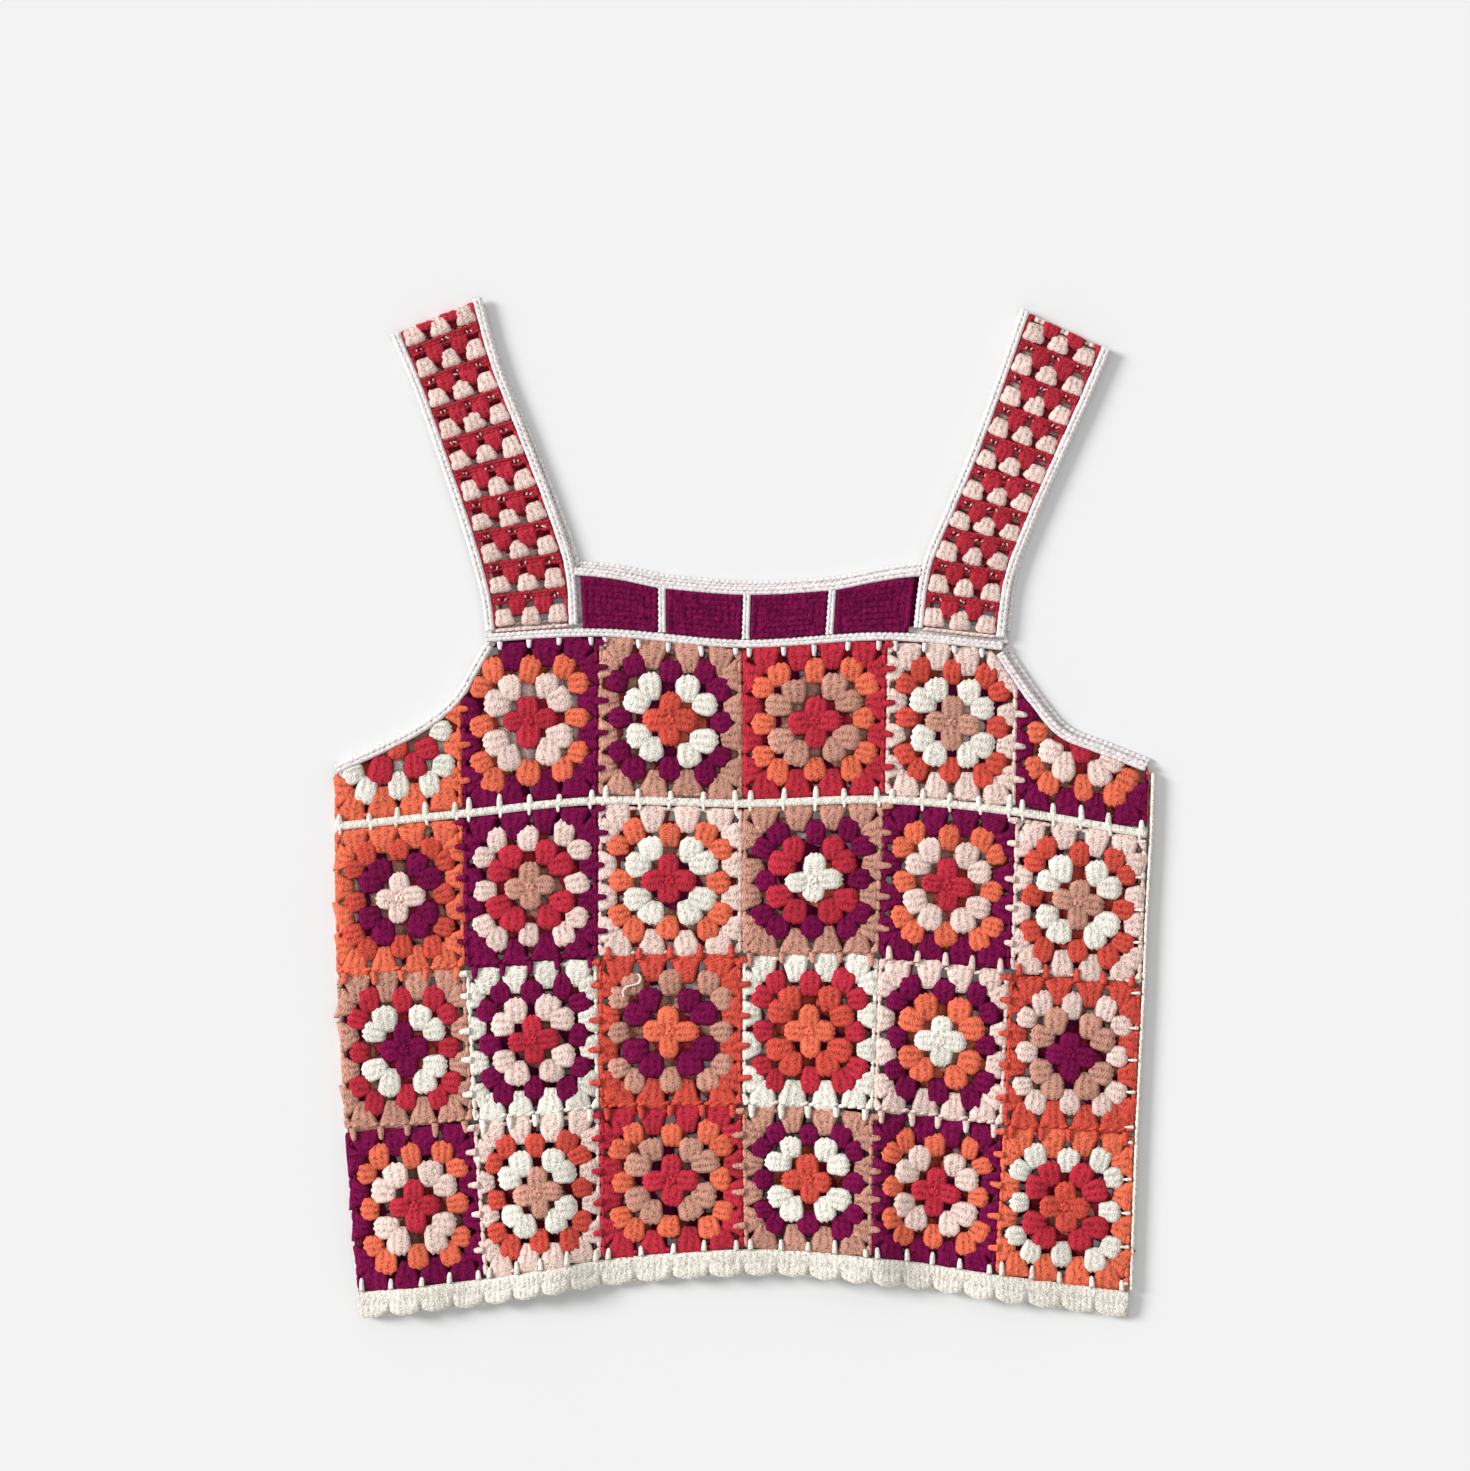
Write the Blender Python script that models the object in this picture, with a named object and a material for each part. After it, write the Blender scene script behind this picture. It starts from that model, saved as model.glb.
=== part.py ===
"""A sleeveless crochet top of granny squares, laid flat: back panel on the surface, front panel on it.

Run with: blender --background --python part.py

Plan sizes are in millimetres on the garment's own axes (x to the wearer's left as laid, y to the
shoulders, z up from the surface) and become metres when a mesh is made. Both panels are woven on one
lattice: u counts squares from the left side seam, v counts rows down from the top of row a.
"""

import functools
import math

import bmesh
import bpy
import numpy as np
from mathutils import Vector
from mathutils.geometry import delaunay_2d_cdt

# ---------------------------------------------------------------- driving sizes (mm)
MM = 0.001
WALL = 2.4  # thickness of a single crocheted layer
RELIEF = 0.8  # how far clusters of stitches stand above that wall
SEAM_GAP = 0.3  # clearance between neighbouring pieces
FRONT_Z = WALL + SEAM_GAP  # the front panel's underside where it lies on the back
COLUMNS, ROWS = 6, 4
SQUARE_W, SQUARE_H = 73.0, 83.0  # a square's usual size
EDGING = 5.0  # width of the two-row cream edging
CORD = 3.8  # width of the slip-stitched cord between rows a and b
YOKE_SEAM = 4.5  # height of the joining row under the yoke and the straps
DIVIDER = 4.4  # width of the yoke's cream dividers
SIDE_SEAM = 2.2  # width of the cords that join the panels at the sides
LEFT_TUCK = (SIDE_SEAM + 2 * SEAM_GAP) / SQUARE_W  # the left cord lies under the front, beside the back
HEM_BAND = 11.0  # hem depth at the notches between its shells
HEM_SHELL = 3.8  # how far a shell reaches below its notches
SHELLS_PER_SQUARE = 4
LAY_CENTRE = (1.6, -0.5)  # middle of the laid garment's outline on the lattice axes

# Seams that run across the panel, top to hem: where each of the seven column seams crosses them.
#                       side_l  seam_1  seam_2  centre  seam_4  seam_5  side_r
SEAM_X = {
    "row_a_top": (-220.0, -152.5, -77.5, 0.0, 78.5, 149.5, 220.0),
    "waist":     (-220.5, -151.0, -78.0, 0.5, 77.0, 148.0, 219.0),
    "row_bc":    (-219.5, -149.5, -78.0, 0.0, 74.0, 145.0, 216.0),
    "row_cd":    (-215.0, -145.5, -77.0, 0.0, 71.0, 141.0, 212.0),
    "hem":       (-208.0, -139.5, -76.0, 1.0, 70.0, 136.5, 209.0),
}
SEAM_Y = {
    "row_a_top": (82.5, 88.0, 92.0, 86.0, 90.0, 84.0, 79.5),
    "waist":     (-10.5, -3.5, 3.5, 2.0, 4.0, -2.5, -14.5),
    "row_bc":    (-91.0, -87.5, -81.5, -80.0, -80.5, -89.0, -96.5),
    "row_cd":    (-175.0, -170.5, -164.0, -162.0, -164.5, -173.0, -177.0),
    "hem":       (-262.0, -254.5, -244.5, -238.5, -242.5, -252.0, -262.0),
}

# Armhole curves on the lattice: squares in from the side seam, rows down from the top of row a.
#              side    flank   knee    rise    shoulder  top
ARMHOLES = {
    "left": {
        "squares_in": (0.0, 0.35, 0.67, 0.93, 1.09, 1.185),
        "rows_down": (0.64, 0.55, 0.45, 0.31, 0.12, 0.0),
    },
    "right": {
        "squares_in": (0.0, 0.30, 0.62, 0.81, 0.99, 1.115),
        "rows_down": (0.59, 0.53, 0.46, 0.32, 0.14, 0.0),
    },
}
ARMHOLE_POINTS = 11  # along each armhole's edge
TOP_CLEAR = 0.06  # no inner point nearer than this share of a square to the armhole's edge

# Shoulder straps from the fold at the shoulder down to the joining row: both long edges.
#                  fold                                            base
STRAPS = {
    "left": {
        "outer_x": (-190.0, -176.5, -163.5, -151.0, -141.5, -138.5),
        "outer_y": (255.5, 223.5, 186.5, 149.5, 115.5, 93.5),
        "inner_x": (-141.0, -131.5, -115.5, -101.5, -91.0, -88.5),
        "inner_y": (276.0, 241.5, 200.5, 163.5, 130.0, 97.0),
    },
    "right": {
        "outer_x": (199.5, 186.5, 172.0, 157.5, 146.5, 142.0),
        "outer_y": (247.5, 217.5, 185.5, 152.5, 122.5, 90.0),
        "inner_x": (151.0, 136.5, 123.5, 110.5, 97.5, 92.5),
        "inner_y": (270.0, 228.5, 193.5, 162.5, 130.5, 95.5),
    },
}
FOLD_NOSE = 2.6  # length of the rounded turn where a strap folds over the shoulder
FOLD_DROP = 1.6  # how far that turn rounds off from the strap's full thickness to its tip
STRAP_LENGTH = 170.0  # along one run, as a scale for its places
FOLD_END = (FOLD_NOSE + 3 * SEAM_GAP) / STRAP_LENGTH
RUN_STATIONS = (0.1, 0.985, 10)  # first and last place of a run's even stations, and their count
PARTING = 0.12  # share of a run over which the back run slides out from under the front
INNER_EDGE = -1e-6  # just inside the inner edge, which counts from below zero
SEAM_U = 0.5 * SEAM_GAP / SQUARE_W  # half a seam gap as a share of a square
SEAM_V = 0.5 * SEAM_GAP / SQUARE_H
STRIPE_PAIRS = 10  # pink row and crimson row pairs in a strap run
STRIPES = (0.01, 0.98)  # first and last place of the stripes along a run
PINK_ROW = 0.52  # where a pair's gaps are, as a share of the pair
STRAP_GAP = (5.4, 4.8)  # width and length of the gap between two pink clusters
STRAP_GAP_SHARES = (0.37, 0.63)  # where those gaps are across the strap

# Neckline of the yoke, left strap to right strap, and the share of its width of each named place.
NECKLINE = {
    "share": (0.0, 0.12, 0.25, 0.5, 0.75, 0.9, 1.0),
    "y": (130.0, 127.5, 122.5, 119.0, 121.5, 127.0, 129.5),
}
YOKE_RECTANGLES = 4
NECK_POINTS = 13  # along the neckline
PLUM_VALLEY = (0.26, 0.24)  # half-sizes of a plum rectangle's inner round, on its own sides
PLUM_RIDGE = (0.38, 0.36)  # half-sizes of its raised outer round

# The back panel lies a little up and to the right of the front, fading out down row b.
BACK_SHIFT = (3.0, 3.5)
BACK_SHIFT_ROWS = 1.6

# Soft folds of the front panel, highest at the hem.
FOLDS = (
    {"x": -176.0, "left": 24.0, "right": 22.0, "height": 4.5, "reach": 110.0},
    {"x": -101.0, "left": 34.0, "right": 21.0, "height": 7.5, "reach": 190.0},
    {"x": -8.0, "left": 42.0, "right": 38.0, "height": 4.5, "reach": 120.0},
    {"x": 73.0, "left": 36.0, "right": 17.0, "height": 8.0, "reach": 200.0},
    {"x": 140.0, "left": 26.0, "right": 28.0, "height": 4.0, "reach": 130.0},
)
HEM_LEVEL = -252.0  # height on the y axis where the folds reach their full height
HELD_FROM = 212.0  # from here out to the sides nothing lifts the front
SIDE_HOLD = 26.0  # the side seams hold the front down over this width

# Layout of a granny square on half-sides of 1: a gap outside each cluster of round two.
GAP_ACROSS, GAP_OUT = 0.22, 0.585
GAP_HALF = (0.075, 0.058)
CENTRE_RING = ((0.16, 0.16),)
ROUND_TWO = ((0.21, 0.46), (0.45, 0.22))
ROUND_THREE = ((0.0, 0.71), (0.44, 0.69), (0.69, 0.44), (0.71, 0.0))
SIDE_STOPS = (0.0, 0.32, 0.68)  # where a square's upper and lower sides have points
SIDE_CLEARANCE = 0.02  # no outline point nearer than this share of a square to its corner

YARNS = {
    "plum_yarn": (0.155, 0.008, 0.062),
    "crimson_yarn": (0.50, 0.016, 0.040),
    "brick_yarn": (0.58, 0.060, 0.034),
    "orange_yarn": (0.79, 0.130, 0.045),
    "pink_yarn": (0.80, 0.58, 0.53),
    "tan_yarn": (0.54, 0.29, 0.21),
    "cream_yarn": (0.86, 0.84, 0.75),
}

# The yarn of each front square's last round, left to right.
BORDER_YARNS = {
    "a": ("orange", "plum", "tan", "crimson", "pink", "plum"),
    "b": ("orange", "plum", "pink", "tan", "plum", "pink"),
    "c": ("tan", "cream", "brick", "cream", "pink", "brick"),
    "d": ("plum", "pink", "crimson", "tan", "plum", "orange"),
}


# ---------------------------------------------------------------- plan: lattice, curves and edges
PLACE_ROUNDS = 30  # steps towards a point's lattice place, each about a tenth of the last
END_ROUNDS = 4  # steps that carry an armhole's edge up to the joining row


def smooth(values, place):
    """A Catmull-Rom curve through evenly spaced values, read at place (0 at the first value)."""
    values = np.asarray(values, float)
    padded = np.concatenate([[2 * values[0] - values[1]], values, [2 * values[-1] - values[-2]]])
    place = np.clip(place, 0.0, len(values) - 1.0)
    first = np.minimum(place.astype(int), len(values) - 2)
    t = place - first
    a, b, c, d = (padded[first + k] for k in range(4))
    return b + 0.5 * t * (c - a + t * (2 * a - 5 * b + 4 * c - d + t * (3 * (b - c) + d - a)))


def lattice(u, v):
    """Plan points of lattice places: smooth along a seam, straight between one seam and the next."""
    u, v = np.broadcast_arrays(np.asarray(u, float), np.asarray(v, float))
    row = np.clip(v.astype(int), 0, ROWS - 1)
    share = v - row
    across = [np.stack([smooth(SEAM_X[name], u), smooth(SEAM_Y[name], u)], -1) for name in SEAM_X]
    across = np.stack(across)
    index = np.arange(u.size)
    above = across.reshape(ROWS + 1, -1, 2)[row.ravel(), index]
    below = across.reshape(ROWS + 1, -1, 2)[row.ravel() + 1, index]
    mixed = above + (below - above) * share.ravel()[:, None]
    return mixed.reshape(u.shape + (2,))


def moved_back(points, v):
    """The same points on the back panel."""
    fade = np.clip(1.0 - np.asarray(v, float) / BACK_SHIFT_ROWS, 0.0, 1.0)
    return points + np.asarray(BACK_SHIFT) * fade[..., None]


def panel_points(layer, u, v):
    points = lattice(u, v)
    return moved_back(points, np.broadcast_to(v, np.shape(u))) if layer == "back" else points


def offset(points, distance):
    """The open path moved to its left-hand side by distance."""
    along = np.gradient(points, axis=0)
    along /= np.linalg.norm(along, axis=1)[:, None]
    return points + distance * np.stack([-along[:, 1], along[:, 0]], -1)


def lattice_place(layer, points):
    """The lattice places of plan points, reached by stepping back along nearly square cells."""
    u = np.clip((points[:, 0] - SEAM_X["waist"][0]) / SQUARE_W, 0.0, COLUMNS)
    v = np.full(len(points), 0.5)
    for _ in range(PLACE_ROUNDS):
        miss = points - panel_points(layer, u, np.maximum(v, 0.0))
        u = np.clip(u + miss[:, 0] / SQUARE_W, 0.0, COLUMNS)
        v = v - miss[:, 1] / SQUARE_H
    return u, v


def crossing(path, first, second, level):
    """The path's first point carried on along its own end, away from second, to x = level."""
    step = path[second] - path[first]
    return path[first] + step * (level - path[first][0]) / step[0]


def armhole(side, layer, inset):
    """Armhole edge from the side seam up to the joining row, moved inset millimetres into the cloth."""
    table = ARMHOLES[side]
    left = side == "left"
    place = np.linspace(0.0, len(table["rows_down"]) - 1.0, ARMHOLE_POINTS)
    squares_in = smooth(table["squares_in"], place)
    if left and layer == "back":
        squares_in = np.maximum(squares_in, LEFT_TUCK)
    v = np.maximum(smooth(table["rows_down"], place), SEAM_V)
    edge = panel_points(layer, squares_in if left else COLUMNS - squares_in, v)
    if inset == 0.0:
        return edge
    path = offset(edge, -inset if left else inset)
    path[0] = crossing(path, 0, 1, edge[0, 0])
    rise = path[-1] - path[-2]
    for _ in range(END_ROUNDS):
        u = lattice_place(layer, path[-1:])[0]
        ceiling = panel_points(layer, u, np.full(1, SEAM_V))[0, 1]
        path[-1] += rise * (ceiling - path[-1, 1]) / rise[1]
    return path


@functools.cache
def shaped_edge(layer):
    """Lattice places of row a's upper edge, left to right: armhole, top, armhole."""
    inset = EDGING + SEAM_GAP
    left = np.stack(lattice_place(layer, armhole("left", layer, inset)), -1)
    right = np.stack(lattice_place(layer, armhole("right", layer, inset)), -1)[::-1]
    edge = np.concatenate([left, right])
    edge[:, 1] = np.maximum(edge[:, 1], SEAM_V)
    edge[-1, 0] = max(edge[-1, 0], COLUMNS)
    return edge


def shaped_top(layer, u):
    """Rows down from the top of row a at which the cloth starts under the armhole edging, at each u."""
    edge = shaped_edge(layer)
    return np.interp(u, edge[:, 0], edge[:, 1])


# ---------------------------------------------------------------- heights
def fold_rise(x, y):
    """How far the front panel is lifted off the back: rounded folds that fade up from the hem."""
    rise = np.zeros_like(x)
    for fold in FOLDS:
        away = x - fold["x"]
        width = np.where(away < 0, fold["left"], fold["right"])
        up = np.clip(1.0 - (y - HEM_LEVEL) / fold["reach"], 0.0, 1.0)
        rise += fold["height"] * np.exp(-((away / width) ** 2)) * up * up * (3 - 2 * up)
    return rise * np.clip((HELD_FROM - np.abs(x)) / SIDE_HOLD, 0.0, 1.0)


def underside(layer, points):
    if layer == "back":
        return np.zeros(len(points))
    return FRONT_Z + fold_rise(points[:, 0], points[:, 1])


# ---------------------------------------------------------------- solids
def material(yarn):
    made = bpy.data.materials.get(yarn)
    if made is None:
        made = bpy.data.materials.new(yarn)
        made.use_nodes = True
        shader = made.node_tree.nodes["Principled BSDF"]
        shader.inputs["Base Color"].default_value = (*YARNS[yarn], 1.0)
        shader.inputs["Roughness"].default_value = 0.92
        shader.inputs["Metallic"].default_value = 0.0
    return made


def triangulated(points, loops, creases):
    """Triangles over the area inside the first loop, outside the others, with an edge along each crease."""
    edges, start = list(creases), 0
    for size in loops:
        edges += [(start + k, start + (k + 1) % size) for k in range(size)]
        start += size
    made = delaunay_2d_cdt([Vector(p) for p in points], edges, [], 1, 1e-7)
    if len(made[0]) != len(points):
        raise ValueError(f"the plan crosses itself: {len(points)} points became {len(made[0])}")
    hole_of = np.zeros(len(points), int)
    start = loops[0]
    for number, size in enumerate(loops[1:], 1):
        hole_of[start : start + size] = number
        start += size
    faces = np.array(made[2])
    holes = hole_of[faces]
    filled = (holes[:, 0] > 0) & (holes[:, 0] == holes[:, 1]) & (holes[:, 1] == holes[:, 2])
    faces = faces[~filled]
    corners = points[faces]
    one, two = corners[:, 1] - corners[:, 0], corners[:, 2] - corners[:, 0]
    turned = one[:, 0] * two[:, 1] - one[:, 1] * two[:, 0] < 0
    faces[turned] = faces[turned][:, ::-1]
    return faces


def wall(
    name, yarn, outline, floor, height, holes=(), inner=(), crests=(), crest_height=RELIEF, creases=()
):
    """A closed wall over a plan outline.

    floor gives the underside's z at plan points and height the wall's thickness there. inner points
    shape both faces, and crests stand crest_height above the outer face alone. creases are pairs of
    outline points that a straight edge joins.
    """
    loops = [len(outline), *map(len, holes)]
    rim = np.concatenate([outline, *holes])
    shared = np.concatenate([rim, inner]) if len(inner) else rim
    top_plan = np.concatenate([shared, crests]) if len(crests) else shared
    low_faces, top_faces = (triangulated(plan, loops, creases) for plan in (shared, top_plan))
    low = np.column_stack([shared, floor(shared)])
    top = np.column_stack([top_plan, floor(top_plan) + height(top_plan)])
    top[len(shared) :, 2] += crest_height
    faces = [tuple(face[::-1]) for face in low_faces]
    faces += [tuple(face + len(low)) for face in top_faces]
    start = 0
    for size in loops:
        for k in range(size):
            a, b = start + k, start + (k + 1) % size
            faces.append((a, b, b + len(low), a + len(low)))
        start += size
    corners = np.concatenate([low, top])
    corners[:, :2] -= LAY_CENTRE
    mesh = bpy.data.meshes.new(name)
    mesh.from_pydata([tuple(corner * MM) for corner in corners], [], faces)
    mesh.update()
    solid = bmesh.new()
    solid.from_mesh(mesh)
    bmesh.ops.recalc_face_normals(solid, faces=solid.faces)
    solid.to_mesh(mesh)
    solid.free()
    mesh.materials.append(material(yarn))
    made = bpy.data.objects.new(name, mesh)
    bpy.context.collection.objects.link(made)
    return made


def plain(points):
    return np.full(len(points), WALL)


def row_stops(left, right):
    """The places from left to right at which everything along a seam has its points."""
    stops = np.array([k + s for k in range(COLUMNS) for s in SIDE_STOPS])
    inside = stops[(stops > left + SIDE_CLEARANCE) & (stops < right - SIDE_CLEARANCE)]
    return np.array([left, *inside, right])


def ring(*paths):
    """One closed outline from open paths, end to end."""
    return np.concatenate(paths)


def between(first, last, count):
    return np.linspace(first, last, count)


def turned_square(points):
    """The given places of one side of a square, repeated on its four sides."""
    quarters = ((1, 0), (0, 1), (-1, 0), (0, -1))
    return [(x * c - y * s, x * s + y * c) for c, s in quarters for x, y in points]


def square_places(points):
    """Places on half-sides of 1, mirrored left and right, on all four sides of a square."""
    every = turned_square([(sign * x, y) for x, y in points for sign in (-1, 1)])
    return np.unique(np.round(np.array(every), 6), axis=0)


# ---------------------------------------------------------------- granny squares
CORD_V = 0.5 * CORD / SQUARE_H + 2 * SEAM_V  # from the waist seam to the squares beside its cord
CORNER_SIGNS = ((-1, -1), (1, -1), (1, 1), (-1, 1))


def row_bounds(row):
    """First and last v of the squares in a row, clear of its seams."""
    top = {0: SEAM_V, 1: 1 + CORD_V}.get(row, row + SEAM_V)
    bottom = 1 - CORD_V if row == 0 else row + 1 - SEAM_V
    return top, bottom


def cell(column, row, places):
    """Lattice places of a square's places on half-sides of 1."""
    top, bottom = row_bounds(row)
    places = np.asarray(places, float)
    u = column + 0.5 + places[:, 0] * (0.5 - SEAM_U)
    v = 0.5 * (top + bottom) - places[:, 1] * 0.5 * (bottom - top)
    return u, v


def gap_loops(column, row, layer, wanted):
    """The square's cut gaps as plan loops, leaving out any that the armhole would break."""
    loops = []
    for x in (-GAP_ACROSS, GAP_ACROSS):
        corners = [(x + a * GAP_HALF[0], GAP_OUT + b * GAP_HALF[1]) for a, b in CORNER_SIGNS]
        turned = np.array(turned_square(corners)).reshape(4, len(corners), 2)
        loops += [side for side, take in zip(turned, wanted) if take]
    kept = []
    for loop in loops:
        u, v = cell(column, row, loop)
        if row > 0 or (v > shaped_top(layer, u) + TOP_CLEAR).all():
            kept.append(panel_points(layer, u, v))
    return kept


def kept_places(column, row, layer, places):
    """Plan points of the places that lie inside the square's shaped outline."""
    u, v = cell(column, row, places)
    if row == 0:
        inside = v > shaped_top(layer, u) + TOP_CLEAR
        u, v = u[inside], v[inside]
    return panel_points(layer, u, v)


def top_edge(layer, left, right, row):
    """The upper edge of a stretch of a row, right to left, shaped by the armholes in row a."""
    u = row_stops(left, right)[1:-1]
    v = np.full(len(u), row_bounds(row)[0])
    if row == 0:
        edge = shaped_edge(layer)
        u = np.concatenate([u[shaped_top(layer, u) < 2 * SEAM_V], edge[:, 0]])
        v = shaped_top(layer, u)
    inside = (u > left + SIDE_CLEARANCE) & (u < right - SIDE_CLEARANCE)
    ends = np.array([left, right])
    end_v = shaped_top(layer, ends) if row == 0 else np.full(2, row_bounds(row)[0])
    u, v = np.concatenate([u[inside], ends]), np.concatenate([v[inside], end_v])
    order = np.argsort(u)[::-1]
    return panel_points(layer, u[order], v[order]), end_v


def stretch_outline(layer, first, last, row):
    """Outline of the squares first to last of a row, anticlockwise from the lower left corner."""
    bottom = row_bounds(row)[1]
    left = first + (left_end(layer) if first == 0 else SEAM_U)
    right = last + 1 - SEAM_U
    u = row_stops(left, right)
    lower = panel_points(layer, u, np.full(len(u), bottom))
    upper, (left_v, right_v) = top_edge(layer, left, right, row)
    thirds = np.array([1, 2]) / 3
    side_r = panel_points(layer, np.full(2, right), bottom + (right_v - bottom) * thirds)
    side_l = panel_points(layer, np.full(2, left), left_v + (bottom - left_v) * thirds)
    return ring(lower, side_r, upper, side_l)


def front_square(column, row):
    letter = "abcd"[row]
    yarn = BORDER_YARNS[letter][column] + "_yarn"
    inner = kept_places(column, row, "front", [(0.0, 0.0), *square_places(CENTRE_RING)])
    raised = [*square_places(ROUND_TWO), *square_places(ROUND_THREE)]
    wall(
        f"front_square_{letter}{column + 1}",
        yarn,
        stretch_outline("front", column, column, row),
        lambda p: underside("front", p),
        plain,
        holes=gap_loops(column, row, "front", (True,) * 4),
        inner=inner,
        crests=kept_places(column, row, "front", raised),
    )


def back_row(row):
    letter = "abcd"[row]
    holes = []
    if row > 0:  # row a's gaps would pass the most that are cut
        for column in range(COLUMNS):
            holes += gap_loops(column, row, "back", (True, False, True, False))
    wall(
        f"back_row_{letter}",
        "plum_yarn" if row % 2 else "orange_yarn",
        stretch_outline("back", 0, COLUMNS - 1, row),
        lambda p: underside("back", p),
        plain,
        holes=holes,
    )


# ---------------------------------------------------------------- long strips
SEAM_START = 0.08  # rows from the armhole's lowest point down to the start of a side seam
SIDE_SEAM_POINTS = 14
SHELL_STEPS = 5  # points from one notch of the hem to the next
SHELL_FULLNESS = 0.6  # under 1, a shell is fuller than a sine wave
SHELL_CREST = 0.55  # how far down the band its raised middle lies


def strip(name, yarn, layer, one_side, other_side):
    """A wall between two open paths with as many points each, rounded along its middle on the front."""
    middle = 0.5 * (one_side + other_side)[1:-1] if layer == "front" else ()
    wall(
        name,
        yarn,
        ring(one_side, other_side[::-1]),
        lambda p: underside(layer, p),
        plain,
        crests=middle,
        crest_height=0.5 * RELIEF,
    )


def left_end(layer):
    """u at which a layer's cloth starts beside the left side seam."""
    return LEFT_TUCK if layer == "back" else SEAM_U


def waist_cord(layer):
    u = row_stops(left_end(layer), COLUMNS - SEAM_U)
    half = 0.5 * CORD / SQUARE_H
    lower = panel_points(layer, u, np.full(len(u), 1 + half))
    upper = panel_points(layer, u, np.full(len(u), 1 - half))
    strip(f"waist_cord_{layer}", "cream_yarn", layer, lower, upper)


def side_seam(side):
    """The cord that joins both panels from the armhole to the hem; the left one is rolled under."""
    v = between(ARMHOLES[side]["rows_down"][0] + SEAM_START, ROWS - SEAM_V, SIDE_SEAM_POINTS)
    if side == "left":
        depth = WALL
        near = panel_points("front", np.full(len(v), SEAM_U), v)
        far = panel_points("front", np.full(len(v), SEAM_U + SIDE_SEAM / SQUARE_W), v)
    else:
        depth = FRONT_Z + WALL
        near = panel_points("back", np.full(len(v), float(COLUMNS)), v) + (SEAM_GAP, 0.0)
        far = near + (SIDE_SEAM, 0.0)
    wall(
        f"side_seam_{side}",
        "cream_yarn",
        ring(near, far[::-1]),
        lambda p: np.zeros(len(p)),
        lambda p: np.full(len(p), depth),
    )


def armhole_edging(side, layer):
    outer = armhole(side, layer, 0.0)
    inner = armhole(side, layer, EDGING)
    strip(f"armhole_{side}_{layer}", "cream_yarn", layer, outer, inner)


def hem(layer):
    """Band of upright stitches that ends in shells; the back's shells sit between the front's."""
    count = COLUMNS * SHELLS_PER_SQUARE * SHELL_STEPS
    u = between(left_end(layer), COLUMNS - SEAM_U, count + 1)
    phase = u * SHELLS_PER_SQUARE + (0.5 if layer == "back" else 0.0)
    depth = HEM_BAND + HEM_SHELL * np.abs(np.sin(math.pi * phase)) ** SHELL_FULLNESS
    line = panel_points(layer, u, np.full(len(u), ROWS + SEAM_V))
    lower = line - np.stack([np.zeros_like(depth), depth], -1)
    stops = row_stops(u[0], u[-1])
    upper = panel_points(layer, stops, np.full(len(stops), ROWS + SEAM_V))
    middle = line[SHELL_STEPS // 2 :: SHELL_STEPS] - (0.0, SHELL_CREST * HEM_BAND)
    wall(
        f"hem_{layer}",
        "cream_yarn",
        ring(lower, upper[::-1]),
        lambda p: underside(layer, p),
        plain,
        crests=middle if layer == "front" else (),
    )


# ---------------------------------------------------------------- yoke and straps
def yoke_seam(layer):
    ends = [ARMHOLES["left"]["squares_in"][-1], COLUMNS - ARMHOLES["right"]["squares_in"][-1]]
    u = row_stops(ends[0] + SEAM_U, ends[1] - SEAM_U)
    lower = panel_points(layer, u, np.zeros(len(u))) + (0.0, 0.5 * SEAM_GAP)
    upper = lower + (0.0, YOKE_SEAM)
    strip(f"yoke_seam_{layer}", "cream_yarn", layer, lower, upper)


def seam_top(x, layer):
    """y of the joining row's upper edge at x."""
    u = row_stops(0.0, COLUMNS)
    line = panel_points(layer, u, np.zeros(len(u)))
    return np.interp(x, line[:, 0], line[:, 1]) + 0.5 * SEAM_GAP + YOKE_SEAM


def strap_points(side, layer, across, along):
    """Plan points of a strap run.

    across is in mm from its outer edge, or below zero from its inner one, and along runs from 0 at
    the fold to 1 at the base.
    """
    table = STRAPS[side]
    place = np.asarray(along, float) * (len(table["outer_x"]) - 1)
    outer = np.stack([smooth(table["outer_x"], place), smooth(table["outer_y"], place)], -1)
    inner = np.stack([smooth(table["inner_x"], place), smooth(table["inner_y"], place)], -1)
    share = np.asarray(across) / np.linalg.norm(inner - outer, axis=-1)
    points = outer + (inner - outer) * np.where(share < 0, 1.0 + share, share)[..., None]
    if layer == "back":
        parted = np.clip((np.asarray(along) - FOLD_END) / PARTING, 0.0, 1.0)
        points = points + np.asarray(BACK_SHIFT) * parted[..., None]
    return points


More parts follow.
